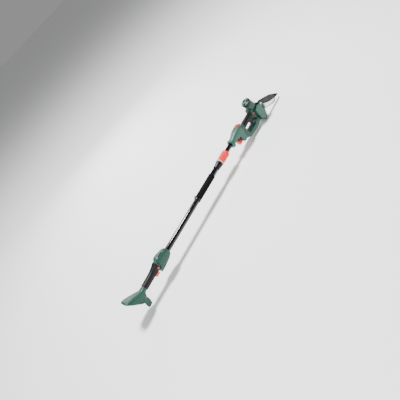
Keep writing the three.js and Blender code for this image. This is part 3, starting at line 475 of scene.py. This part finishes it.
def rodAlongY(y0, y1, radius, x, z, soft=0.0, sides=48):
    profile = [[y0, 0], [y0, radius], [y1, radius], [y1, 0]]
    if soft > 0:
        profile = softProfile(profile, soft)
    return turnedPiece(closedEnds(profile), sides, (x, 0, z), (0, 1, 0))


def closedEnds(profile):
    # a profile that starts and ends on the axis gets tiny end rings instead of poles
    p = np.asarray(profile, float).copy()
    p[:, 1] = np.maximum(p[:, 1], 0.01)
    return p


def rodAlongX(x0, x1, radius, y=0.0, z=0.0, sides=48):
    return turnedPiece([[x0, radius], [x1, radius]], sides, (0, y, z))

handle = {"voxel": 1.1, "wall": 3.0, "coverThick": 2.6, "hookHalf": 9.0, "groove": 0.9}
footRows = [[-46, 57, 15, -34, 34.7, 4], [-39, 60, 25, -35, 35.5, 4], [-8, 48, 41, -32, 33, 3.6],
            [26, 29, 53, -24, 26, 3], [56, 15, 65, -14, 17, 2.6]]
gripRows = [[76, 15.5, 76, -14.5, 15, 2.5], [115, 16.5, 115, -14.5, 15, 2.5], [150, 18.5, 150, -14.5, 15, 2.5],
            [176, 23.5, 180, -15, 16, 2.5], [202, 31, 196, -19, 19, 2.5]]
bridgeRow = [222, 35, 206, -21, 19, 2.5]
handleRows = footRows + gripRows + [bridgeRow]
collarRows = [[219, 40, 190, -37, 26, 3], [232, 40, 215, -36, 27, 3], [262, 35, 258, -31, 26, 2.8],
              [284, 29, 284, -25, 23, 2.5], [294, 21, 294, -19, 19, 2.3]]
hookCorners = [[24, -26], [18, -44], [14, -60], [11, -82], [19, -86], [40, -84], [47, -60], [50, -26]]
triggerCorners = [[154, -8], [154, -25], [157, -33.4], [163, -33], [170, -28.5], [177, -32.4], [182, -31],
                  [182, -8]]


def seatBox(x0, x1, half, z0, z1, tilt, x):
    # a block in a battery seat's own frame: +X into the tool, +Z up along the seat
    return turnedInPlane(blockBetween((x0, -half, z0), (x1, half, z1)), tilt, shift=(x, 0))


def handleCutters():
    footSeat = {"tilt": -35, "x": -9}
    vents = [slab(roundedOutline([[232, 26], [268, 26], [268, 60], [232, 60]], 1), -2.4, 2.4) for _ in range(2)]
    for side, vent in zip((-1, 1), vents):
        vent.transform(Matrix.Rotation(math.radians(side * 22), 4, "X"))
    floorOfGroove = skin(sectionRings(handleRows, 120, 96, grow=-handle["groove"]))
    line = carved(seatBox(13, 14.3, 60, -70, 90, **footSeat), [floorOfGroove])
    dent = roundedOutline([[12, -21], [36, -19], [44, -10], [26, -3], [4, -8]], 5)
    pockets = [slab(dent, -50, -31), slab(dent, 31, 50)]
    return vents + pockets + [
        line, skin(sectionRings(handleRows, rings=90, grow=-handle["wall"], first=3)),
        skin(sectionRings(collarRows[1:4], rings=30, grow=-handle["wall"])),
        rodAlongX(227.7, 299, 15.8, sides=96),
        seatBox(3.7, 10.5, 23, -40, 62, **footSeat), seatBox(-5, 4.7, 18, -40, 62, **footSeat),
        seatBox(9.5, 26.5, 9, -12, 12, **footSeat), seatBox(23, 38, 9, -26, 1, **footSeat),
        seatBox(37, 44, 9, -26, -4, **footSeat), seatBox(43, 52, 9, -26, -14, **footSeat),
        blockBetween((152.5, -7.4, -60), (183.5, 7.4, 0)), blockBetween((152.5, -9.3, -11), (183.5, 9.3, 0.5)),
        rodAlongX(200, 236, 5, z=4), rodAlongY(-40, 40, 6.4, 191, 2),
        rodAlongY(17.7, 40, 3.7, 236, -27)]


def buildHandle():
    core = skin(sectionRings(handleRows, rings=240, sides=96))
    collar = skin(sectionRings(collarRows, rings=120, sides=96))
    half = handle["hookHalf"]
    hook = slab(roundedOutline(hookCorners, 7), -half, half, bevel=3)
    body = carved(moulded([core, hook, collar], handle["voxel"]), handleCutters())
    showHalves("handle_shell_", body, "green_housing")

    thick = handle["coverThick"]
    away = np.linspace(0, 1, 180)
    roll = np.sqrt(np.clip(1 - (1 - np.clip(away * 128 / 2.4, 0, 1)) ** 2, 0, 1))
    thickness = 0.5 + (thick - 0.5) * roll * roll[::-1]
    outer = skin(sectionRings(handleRows, rings=180, sides=120, grow=thickness, first=5, last=9))
    cover = carved(outer, [
        skin(sectionRings(handleRows, rings=160, sides=120, grow=0.3, first=4)),
        blockBetween((151.5, -8, -60), (184.5, 8, 0)), rodAlongY(-40, 40, 7, 191, 2),
        skin(sectionRings(collarRows, rings=60, sides=96, grow=0.3))])
    shown("handle_grip_cover", cover, "soft_grip", 45)

    blade = slab(roundedOutline(triggerCorners, 4, 8), -7, 7, bevel=2, steps=5)
    flange = blockBetween((155, -8.8, -10.5), (181, 8.8, -8.2))
    pusher = blockBetween((164, -3, -9), (170, 3, -6.4))
    shown("handle_trigger", united([blade, flange, pusher]), "red_plastic", 50)
    button = rodAlongY(-21.8, 21.8, 6, 191, 2, soft=1.6)
    shown("handle_lock_off", carved(button, [blockBetween((180, -9, 5.5), (210, 9, 20))]), "red_plastic", 50)

    head = rodAlongY(18, 21, 3.4, 236, -27, soft=0.7)
    shank = rodAlongY(4, 18.1, 1.6, 236, -27)
    socket = turnedPiece([[19.2, 1.7], [22, 1.7]], 6, (236, 0, -27), (0, 1, 0))
    shown("handle_screw", carved(united([head, shank]), [socket]), "bright_steel", 30)


buildHandle()
print("lower handle made")

pole = {"sides": 128, "flutes": 12, "fluteDeep": 1.5, "foamWave": 0.12}


def ringProfile(pairs, soft=0.6):
    # a closed profile of along and radius pairs with softened corners
    return roundedOutline(pairs, soft, 4)


def buildPole():
    sides = pole["sides"]
    shown("outer_tube", turnedPiece(ringProfile([[228, 14], [228, 15.5], [850, 15.5], [850, 14]], 0.4), sides,
                                    closed=True), "black_tube")
    shown("inner_tube", turnedPiece(ringProfile([[320, 12], [320, 13.3], [1045, 13.3], [1045, 12]], 0.4), sides,
                                    closed=True), "black_tube")

    along = np.linspace(621, 779, 150)
    edge = np.clip(np.minimum(along - 621, 779 - along) / 3.5, 0, 1)
    outside = np.stack([along, 16.0 + 2.6 * np.sqrt(1 - (1 - edge) ** 2)], 1)
    inside = np.array([[779, 15.8], [621, 15.8]])

    def foamSkin(x, angle, radius):
        wave = np.sin(x * 0.61 + 2 * np.sin(3 * angle)) * np.sin(5 * angle + x * 0.13)
        return radius + np.where(radius > 15.9, pole["foamWave"] * (wave - 1), 0)
    foam = shown("foam_grip", turnedPiece(np.concatenate([outside, inside]), 120, ripple=foamSkin, closed=True),
                 "foam")

    clip = turnedPiece(ringProfile([[607, 15.8], [607, 18.7], [620, 18.7], [620, 15.8]], 0.9), 96, closed=True)
    ear = slab(roundedOutline([[608, 16.5], [619, 16.5], [619, 29], [608, 29]], 5), -2.5, 2.5, bevel=0.9)
    eye = rodAlongY(-5, 5, 3, 613.5, 24)
    shown("strap_lug", united([clip, carved(ear, [eye])]), "black_plastic", 45)

    collarProfile = [[826, 15.8], [826, 17.7], [834, 18.5], [862, 21.5], [868, 21.5], [868, 18], [908, 18],
                     [908, 16.2], [850.3, 16.2], [850.3, 15.8]]
    shown("lock_collar", turnedPiece(ringProfile(collarProfile, 1.0), sides, closed=True), "black_plastic")

    ringPairs = [[868.3, 18.4], [868.3, 22.6], [873.8, 22.6], [873.8, 18.4]]
    shown("sleeve_ring", turnedPiece(ringProfile(ringPairs, 1.1), sides, closed=True), "pale_plastic")

    x = np.linspace(874.1, 947, 110)
    shoulder = np.clip((x - 874.1) / 2.6, 0, 1)
    nose = np.clip((x - 939) / 8, 0, 1)
    outline = 21.6 + np.sqrt(1 - (1 - shoulder) ** 2) - 0.4 * (x - 877) / 58 - 5.1 * nose ** 3
    inner = np.array([[947, 13.7], [918, 13.7], [918, 18.4], [874.1, 18.4]])

    def fluted(along, angle, radius):
        # scallops: a raised power of a cosine round the sleeve, faded out at both ends
        count = pole["flutes"]
        scallop = np.clip(np.cos(count * angle), 0, 1) ** 1.4
        fade = np.clip((along - 882) / 5, 0, 1) * np.clip((937 - along) / 7, 0, 1)
        fade = fade * fade * (3 - 2 * fade)
        return radius - np.where(radius > 18.5, pole["fluteDeep"] * scallop * fade, 0)
    sleeve = turnedPiece(np.concatenate([np.stack([x, outline], 1), inner]), 240, ripple=fluted, closed=True)
    shown("lock_sleeve", sleeve, "red_plastic", 50)


buildPole()
print("pole made")

adapterRows = [[1015.3, 18, 1015.3, -19, 19, 2.6], [1034, 22, 1034, -18, 20, 2.8], [1066, 32, 1064, -19, 24, 3],
               [1100, 34, 1096, -23, 26.8, 3.4], [1145, 31, 1140, -28, 26.8, 3.4]]
blockCorners = [[1150, -2], [1076, -2], [1076, -54], [1084, -62], [1150, -62]]
buttonCorners = [[1098, 30], [1100, 37.5], [1118, 38], [1138, 28], [1137, 19.5], [1120, 19.5], [1098, 26]]
headSeat = {"tilt": 4, "x": 1117}
knob = {"lobes": 8, "radius": 17.0, "deep": 2.0}


def sideOfSeat(x0, x1):
    return seatBox(x0, x1, 200, -200, 200, **headSeat)


def anticlockwise(corners):
    p = np.asarray(corners, float)
    area = np.sum(p[:, 0] * np.roll(p[:, 1], -1) - np.roll(p[:, 0], -1) * p[:, 1])
    return p if area > 0 else p[::-1]


def buildAdapter():
    block = slab(roundedOutline(anticlockwise(blockCorners), 7), -26, 26, bevel=3)
    outside = moulded([skin(sectionRings(adapterRows, rings=140, sides=96)), block], 1.0, 5)
    hollow = united([skin(sectionRings(adapterRows, rings=60, grow=-3, first=1)),
                     slab(insetOutline(anticlockwise(blockCorners), 3), -23, 23)])
    hollow = carved(hollow, [sideOfSeat(-400, -6)], "INTERSECT")
    body = carved(outside, [sideOfSeat(-0.3, 200), hollow, rodAlongX(1000, 1045.3, 13.6, sides=96),
                            rodAlongX(1060, 1102, 5.4, z=-42), blockBetween((1097, -11.4, 14), (1150, 11.4, 60)),
                            seatBox(-8, 5, 15, -52, 6, **headSeat)])
    # painted highlight: the adapter's shells take the lightened green for the light falling on them
    showHalves("adapter_shell_", body, "cover_green")

    rim = closedEnds([[1001, 0], [1001, 23.5], [1005, 27.5], [1015, 27.5], [1015, 0]])
    ring = turnedPiece(softProfile(rim, 1.6), 128, (0, 0, -2))
    # painted highlight: the flange takes the same lightened green
    shown("adapter_flange", carved(ring, [rodAlongX(1000, 1016, 13.6, sides=96)]), "cover_green", 40)

    pad = slab(roundedOutline(anticlockwise(buttonCorners), 3), -11, 11, bevel=2, steps=5)
    grooves = [slab(roundedOutline([[x, 36.2], [x + 1.6, 36.2], [x + 1.6, 44], [x, 44]], 0.3), -8, 8)
               for x in (1104, 1108, 1112, 1116)]
    stem = blockBetween((1102, -4, 16.5), (1112, 4, 28))
    shown("release_button", carved(united([pad, stem]), grooves), "red_plastic", 45)

    x = np.linspace(1050, 1070, 40)
    end = np.clip(np.minimum(x - 1050, 1070 - x) / 3.4, 0, 1)
    rim = knob["radius"] - 3.4 + 3.4 * np.sqrt(1 - (1 - end) ** 2)
    profile = np.concatenate([[[1050, 0.01]], np.stack([x, rim], 1), [[1070, 5.2], [1054, 5.2], [1054, 0.01]]])

    def lobed(along, angle, radius):
        dip = np.clip(np.cos(knob["lobes"] * angle), 0, 1) ** 1.2
        return radius - np.where(radius > 8, knob["deep"] * dip, 0)
    shown("clamp_knob", turnedPiece(profile, 192, (0, 0, -42), ripple=lobed), "red_plastic", 45)


buildAdapter()
print("head adapter made")

sawRows = [[1122, 10, 1118, -40, 22, 3.6], [1139, 7.8, 1135, -30, 18, 3], [1150, 7.8, 1150, -21.8, 14.6, 2.5],
           [1180, 8.8, 1180, -20.8, 14.6, 2.5], [1215, 8.8, 1212, -20.8, 14.6, 2.5],
           [1243, 7.8, 1243, -21.8, 14.6, 2.5], [1268, 12.8, 1268, -31.8, 18, 3]]
sawFootCorners = [[1100, -62], [1120, -67], [1143, -83], [1144, -53], [1139, 12], [1100, 12]]
bowCorners = [[1120, -65], [1134, -82], [1222, -86], [1268, -71], [1290, -73], [1290, -47], [1252, -49],
              [1222, -59], [1141, -58]]
bodyCorners = [[1247, -37], [1262, -67], [1276, -83], [1298, -103], [1315, -86], [1338, -15], [1328, 9],
               [1306, 19], [1246, 21]]
coverCorners = [[1265, -32], [1276, -83], [1298, -107], [1317, -87], [1343, -11], [1333, 5], [1266, 4]]
guardCorners = [[1312, -3], [1318, 11], [1338, 11], [1383, -9], [1430, -32], [1485.8, -76], [1482, -84],
                [1444, -76], [1396, -58], [1352, -32], [1320, -13]]
sawTriggerCorners = [[1206, -16.8], [1207, -44], [1210, -52], [1217, -51], [1224, -43], [1234, -40],
                     [1234, -16.8]]
pivot = (1296, 0, -21)  # centre of the drive sprocket, where the motor's axis meets it
motorLean = math.radians(17)
motorAim = (-math.sin(motorLean), 0, math.cos(motorLean))
bar = {"y": -26.0, "thick": 3.0, "length": 142.0, "root": 13.5, "nose": 18.0, "pitch": 21.0, "studAt": 37.0}
chain = {"links": 92, "middle": 3.4, "tieHalf": 1.9}
barTurn = math.radians(bar["pitch"])
stud = (pivot[0] + bar["studAt"] * math.cos(barTurn), pivot[2] - bar["studAt"] * math.sin(barTurn))


def alongMotor(profile, sides=96, ripple=None, closed=False):
    return turnedPiece(profile, sides, pivot, motorAim, ripple, closed)


def alongBar(mesh):
    return turnedInPlane(mesh, bar["pitch"], shift=(pivot[0], pivot[2]))


def beltOutline(first, second, distance, steps=40):
    # the outline of a belt round two circles, the first at the origin and the second along +X
    lean = math.asin((first - second) / distance)
    a = np.linspace(math.pi / 2 - lean, 1.5 * math.pi + lean, steps)
    b = np.linspace(1.5 * math.pi + lean, 2.5 * math.pi - lean, steps)
    return np.concatenate([np.stack([first * np.cos(a), first * np.sin(a)], 1),
                           np.stack([distance + second * np.cos(b), second * np.sin(b)], 1)])


def sawShell():
    foot = slab(roundedOutline(anticlockwise(sawFootCorners), 8), -27, 27, bevel=3.5)
    bow = slab(roundedOutline(anticlockwise(bowCorners), 9), -26, 26, bevel=4)
    bow = carved(bow, [blockBetween((1264.7, -60, -200), (1400, -20, 200))])
    body = slab(roundedOutline(anticlockwise(bodyCorners), 8), -20, 28, bevel=4)
    pod = alongMotor(softProfile(closedEnds([[35, 0], [35, 29], [77, 29], [77, 0]]), 0.8))
    core = skin(sectionRings(sawRows, rings=160, sides=96))
    outside = moulded([foot, bow, body, pod, core], 1.15, 5)
    bodyInside = slab(insetOutline(roundedOutline(anticlockwise(bodyCorners), 8), 3), -17, 25)
    bowInside = slab(insetOutline(roundedOutline(anticlockwise(bowCorners), 9), 5), -21, 21)
    podInside = alongMotor(closedEnds([[38, 26], [94, 26]]))
    coreInside = skin(sectionRings(sawRows, rings=60, grow=-3, first=1))
    step = [[1251, -47], [1262, -69], [1276, -85], [1279, -82], [1265, -64], [1255, -45]]
    ledge = slab(roundedOutline(step, 1), 20, 40)
    cutters = [
        sideOfSeat(-200, 0), bodyInside, bowInside, podInside, coreInside,
        seatBox(3.7, 10.5, 23, -55, 60, **headSeat), seatBox(-5, 4.7, 18, -55, 60, **headSeat),
        seatBox(3.7, 10.5, 14.5, -60, -54, **headSeat),
        blockBetween((1205, -6.9, -55), (1235, 6.9, -7)), blockBetween((1205, -8.7, -18.3), (1235, 8.7, -7)),
        rodAlongY(-60, 60, 5.9, 1255, -12), rodAlongY(-60, -10, 9.8, 1296, -21, sides=64),
        rodAlongY(-60, 0, 4.3, *stud), rodAlongY(-60, 0, 3.3, 1322, -1), ledge]
    return carved(outside, cutters)


def buildSaw():
    showHalves("saw_shell_", sawShell(), "green_housing")

    away = np.linspace(0, 1, 140)
    roll = np.sqrt(np.clip(1 - (1 - np.clip(away * 93 / 2.4, 0, 1)) ** 2, 0, 1))
    outer = skin(sectionRings(sawRows, 140, 120, grow=0.5 + 2.1 * roll * roll[::-1], first=2, last=5))
    cover = carved(outer, [skin(sectionRings(sawRows, rings=120, sides=120, grow=0.3, first=1)),
                           blockBetween((1204, -7.5, -55), (1236, 7.5, -7)), rodAlongY(-60, 60, 6.5, 1255, -12)])
    shown("saw_grip_cover", cover, "soft_grip", 45)

    blade = slab(roundedOutline(anticlockwise(sawTriggerCorners), 4, 8), -6.5, 6.5, bevel=1.8, steps=5)
    plate = blockBetween((1207, -8.2, -17.8), (1233, 8.2, -15.6))
    pusher = blockBetween((1218, -3, -15.8), (1224, 3, -13.2))
    shown("saw_trigger", united([blade, plate, pusher]), "black_plastic", 50)
    button = rodAlongY(-20.8, 20.8, 5.5, 1255, -12, soft=1.5)
    shown("saw_lock_off", carved(button, [blockBetween((1245, -9, -9), (1268, 9, 20))]), "red_plastic", 50)

    capProfile = softProfile([[77.3, 24], [77.3, 29.5], [91, 29.6], [94, 26.5], [94, 0.01]], 1.2)
    cap = turnedPiece(np.concatenate([capProfile, [[91, 0.01], [91, 24]]]), 128, pivot, motorAim)
    ports = []
    for k in range(3):
        port = slab(roundedOutline([[89, 8], [96, 8], [96, 21], [89, 21]], 0.5), -6.5, 6.5)
        port.transform(Matrix.Translation(Vector((-seatBack * mm, 0, 0))))
        port.transform(Matrix.Rotation(math.radians(120 * k), 4, "X"))
        aim = Vector((1, 0, 0)).rotation_difference(Vector(motorAim)).to_matrix().to_4x4()
        port.transform(Matrix.Translation(Vector(((pivot[0] + seatBack) * mm, 0, pivot[2] * mm))) @ aim)
        ports.append(port)
    capPiece = shown("motor_end_cap", carved(cap, ports), "black_plastic", 40)
    middles = np.empty(len(capPiece.data.polygons) * 3)
    capPiece.data.polygons.foreach_get("center", middles)
    out = middles.reshape(-1, 3) / mm - np.array([pivot[0] + seatBack, 0, pivot[2]])
    height = out @ np.array(motorAim)
    reach = np.linalg.norm(out - height[:, None] * np.array(motorAim), axis=1)
    # the end face inside the ring takes the green that is lightened as painted highlight
    capPiece.data.materials.append(finishes["cover_green"])
    capPiece.data.polygons.foreach_set("material_index", ((height > 90.5) & (reach < 22.5)).astype(int))


buildSaw()
print("saw made")


def chainLinks(y):
    # links stand along the middle of the belt, each turned to the path's own direction
    middle = beltOutline(bar["root"] + chain["middle"], bar["nose"] + chain["middle"], bar["length"], 600)
    loop = np.vstack([middle, middle[:1]])
    travelled = np.concatenate([[0], np.cumsum(np.linalg.norm(np.diff(loop, axis=0), axis=1))])
    pitch = travelled[-1] / chain["links"]
    reach, half = pitch * 0.72, chain["tieHalf"]
    tie = roundedOutline([[-reach, -half], [reach, -half], [reach, half], [-reach, half]], half, 3)
    drive = [[-2.1, -2.6], [0, -3.2], [2.1, -2.6], [3.2, 1.4], [-3.2, 1.4]]
    tooth = [[-3.1, -1.6], [3.1, -1.6], [3.1, 0.8], [2.6, 3.9], [0.2, 4.0], [-0.6, 1.2], [-2.2, 3.3], [-3.1, 2.6]]

    def spot(at):
        return np.array([np.interp(at % travelled[-1], travelled, loop[:, i]) for i in (0, 1)])

    def placed(corners, at):
        # corners along and out from the belt, at a distance along it
        here, ahead = spot(at), spot(at + 0.5)
        away = (ahead - here) / np.linalg.norm(ahead - here)
        c = np.asarray(corners, float)
        return anticlockwise(here + c[:, :1] * away + c[:, 1:] * np.array([away[1], -away[0]]))
    parts = []
    for k in range(chain["links"]):
        at = (k + 0.5) * pitch
        if k % 2:  # every second link is a pair of ties, with a cutter on alternate sides
            near, far = (tooth if k % 8 == 1 else tie), (tooth if k % 8 == 5 else tie)
            parts.append(slab(placed(near, at), y - 2.5, y - 1.3))
            parts.append(slab(placed(far, at), y + 1.3, y + 2.5))
        else:
            parts.append(slab(placed(drive, at), y - 0.6, y + 0.6))
        parts.append(rodAlongY(y - 2.5, y + 2.5, 1.0, *spot(at), sides=8))
    return joined(parts)


def buildBar():
    y, thick, length = bar["y"], bar["thick"], bar["length"]
    edge = beltOutline(bar["root"] - 0.3, bar["nose"] - 0.3, length)
    plate = slab(edge, y - thick / 2, y + thick / 2, bevel=0.4, steps=2)
    slot = slab(roundedOutline([[24, -4.5], [46, -4.5], [46, 4.5], [24, 4.5]], 4), y - 5, y + 5)
    pocket = slab(anticlockwise(beltOutline(22.9, 23, 0.5)) + np.array([length, 0]), y - 0.9, y + 0.9)
    pocket = carved(pocket, [blockBetween((length - 60, -50, -60), (length - 18, 0, 60))])
    mounted = rodAlongY(y - 5, y + 5, bar["root"] + 2, 0, 0, sides=72)
    hub = rodAlongY(y - 1.2, y + 1.2, 2.8, length, 0)
    pinHole = rodAlongY(y - 5, y + 5, 1.6, 53, 6)
    rivets = [rodAlongY(y - thick / 2 - 0.35, y + thick / 2 + 0.35, 1.5, length + 11 * math.cos(a) - 3,
                        11 * math.sin(a), soft=0.3, sides=20) for a in np.radians([60, 100, 180, 260, 300])]
    lightening = slab(roundedOutline([[64, -3.6], [112, -4.2], [112, 4.2], [64, 3.6]], 3), y - 1.9, y - 1.2)
    body = united([carved(plate, [slot, mounted, pinHole, lightening, pocket]), hub])
    shown("guide_bar", alongBar(joined([body] + rivets)), "bar_steel", 30)

    shown("saw_chain", alongBar(chainLinks(y)), "chain_steel", 30)

    def knurled(along, angle, radius):
        return radius - np.where(radius > 8.5, 0.45 * (0.5 + 0.5 * np.cos(24 * angle)), 0)
    nut = softProfile([[-43.5, 4.3], [-43.5, 8.6], [-41.2, 9.2], [-41, 10.4], [-39, 10.5], [-38.8, 9], [-35, 9],
                       [-35, 4.3]], 0.5)
    shown("bar_nut", turnedPiece(nut, 144, (stud[0], 0, stud[1]), (0, 1, 0), knurled, True), "black_plastic", 45)
    screw = turnedPiece([[18, 1.2], [34, 1.2]], 32, (0, -21.8, 12))
    shown("tension_screw", alongBar(screw), "bright_steel", 40)


buildBar()
print("bar and chain made")


def buildCover():
    shell = slab(roundedOutline(anticlockwise(coverCorners), 8, 10), -40, -20.3, bevel=4.5, steps=7)
    hollow = slab(insetOutline(roundedOutline(anticlockwise(coverCorners), 8), 2.5), -37.5, -19.3)
    leave = alongBar(blockBetween((18, -34, -27), (100, 0, 27)))
    room = slab([[1306, -13], [1400, -57], [1400, 60], [1306, 60]], -34, 0)
    boss = rodAlongY(-38.5, -31, 12.5, *stud, sides=72)
    scoop = slab(insetOutline(roundedOutline(anticlockwise(coverCorners), 8, 10), 6.5), -41, -39.3, bevel=0)
    body = carved(shell, [hollow, leave, room, scoop])
    holes = [rodAlongY(-60, -34.7, 10.9, *stud, sides=72), rodAlongY(-60, 0, 4.3, *stud),
             rodAlongY(-60, 0, 3.3, 1322, -1)]
    body = carved(united([body, boss]), holes)
    # painted highlight: the cover takes the lightened green for the light on its camera-facing side
    shown("sprocket_cover", body, "cover_green", 40)

    outer = slab(roundedOutline(anticlockwise(guardCorners), 4, 8), -32.2, -20.5, bevel=1.4, steps=5)
    inner = slab(roundedOutline(anticlockwise([[1328, -67], [1328, 1], [1380, -14], [1428, -37], [1474, -74],
                                               [1490, -130]]), 4), -30.3, -22.2)
    over = 8.5  # from the bar's edge to the guard's inside, past the chain
    sweeps = []  # the room that the chain needs in the guard as the guard swings up
    for angle in range(0, 61, 6):
        belt = alongBar(slab(beltOutline(bar["root"] + over, bar["nose"] + over, bar["length"]), -30.3, -22.2))
        sweeps.append(turnedInPlane(belt, angle, about=(1322, -1)))
    ribs = [slab([[x, z], [x + 2, z - 1], [x + 9, z + 16], [x + 7, z + 17]], -33, -31.5)
            for x, z in ((1392, -52), (1420, -62), (1446, -74))]
    guard = carved(outer, [inner, *sweeps, rodAlongY(-60, 0, 3.4, 1322, -1)] + ribs)
    shown("chain_guard", guard, "black_plastic", 40)
    pin = rodAlongY(-41.2, -12, 3, 1322, -1)
    head = rodAlongY(-42.2, -40.3, 5.2, 1322, -1, soft=0.8)
    driveSlot = blockBetween((1318.5, -43, -1.6), (1325.5, -41.4, -0.4))
    shown("guard_pin", carved(united([pin, head]), [driveSlot]), "bright_steel", 35)


buildCover()
print("cover and guard made")

studio = {
    "daylight": 0.3,
    "target": (0.70, 0, 0),
    # place in metres, size across and watts
    "lamps": {"keyLight": ((1.3, 0.5, 4.2), 1.0, 520), "fillLight": ((-0.9, -1.9, 1.33), 0.4, 34),
              "rimLight": ((1.2, 1.8, 1.0), 1.2, 26)},
    "cameraPlace": (-0.099, -1.667, 1.149),
    "cameraRight": (0.484, -0.635, -0.603),
    "cameraBack": (-0.338, -0.771, 0.540),
}


def buildStudio():
    low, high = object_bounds()
    floor = meshOf([[-30, -30, 0], [30, -30, 0], [30, 30, 0], [-30, 30, 0]], [[0, 1, 2, 3]])
    floor.transform(Matrix.Translation(Vector((0, 0, low.z - 0.001))))
    ground = bpy.data.objects.new("floor", floor)
    floor.materials.append(moulding("paleFloor", (244, 245, 245), rough=0.85, grain=300, bump=0.02, mottle=0.004))
    bpy.context.scene.collection.objects.link(ground)

    world = bpy.data.worlds.new("studio")
    world.use_nodes = True
    world.node_tree.nodes["Background"].inputs["Color"].default_value = (1, 1, 1, 1)
    world.node_tree.nodes["Background"].inputs["Strength"].default_value = studio["daylight"]
    bpy.context.scene.world = world
    target = Vector(studio["target"])
    for name, (place, size, power) in studio["lamps"].items():
        lamp = bpy.data.lights.new(name, "AREA")
        lamp.shape = "DISK"
        lamp.size = size
        lamp.energy = power
        holder = bpy.data.objects.new(name, lamp)
        holder.location = place
        holder.rotation_euler = (target - Vector(place)).to_track_quat("-Z", "Y").to_euler()
        bpy.context.scene.collection.objects.link(holder)

    lens = bpy.data.cameras.new("camera")
    lens.lens, lens.sensor_width = 36, 36
    lens.shift_x, lens.shift_y = -0.0012, 0.0007
    lens.clip_end = 100
    camera = bpy.data.objects.new("camera", lens)
    across = Vector(studio["cameraRight"]).normalized()
    back = Vector(studio["cameraBack"]).normalized()
    up = back.cross(across).normalized()
    across = up.cross(back)
    turn = Matrix((across, up, back)).transposed().to_4x4()
    camera.matrix_world = Matrix.Translation(Vector(studio["cameraPlace"])) @ turn
    bpy.context.scene.collection.objects.link(camera)
    bpy.context.scene.camera = camera


buildStudio()
print("scene ready")
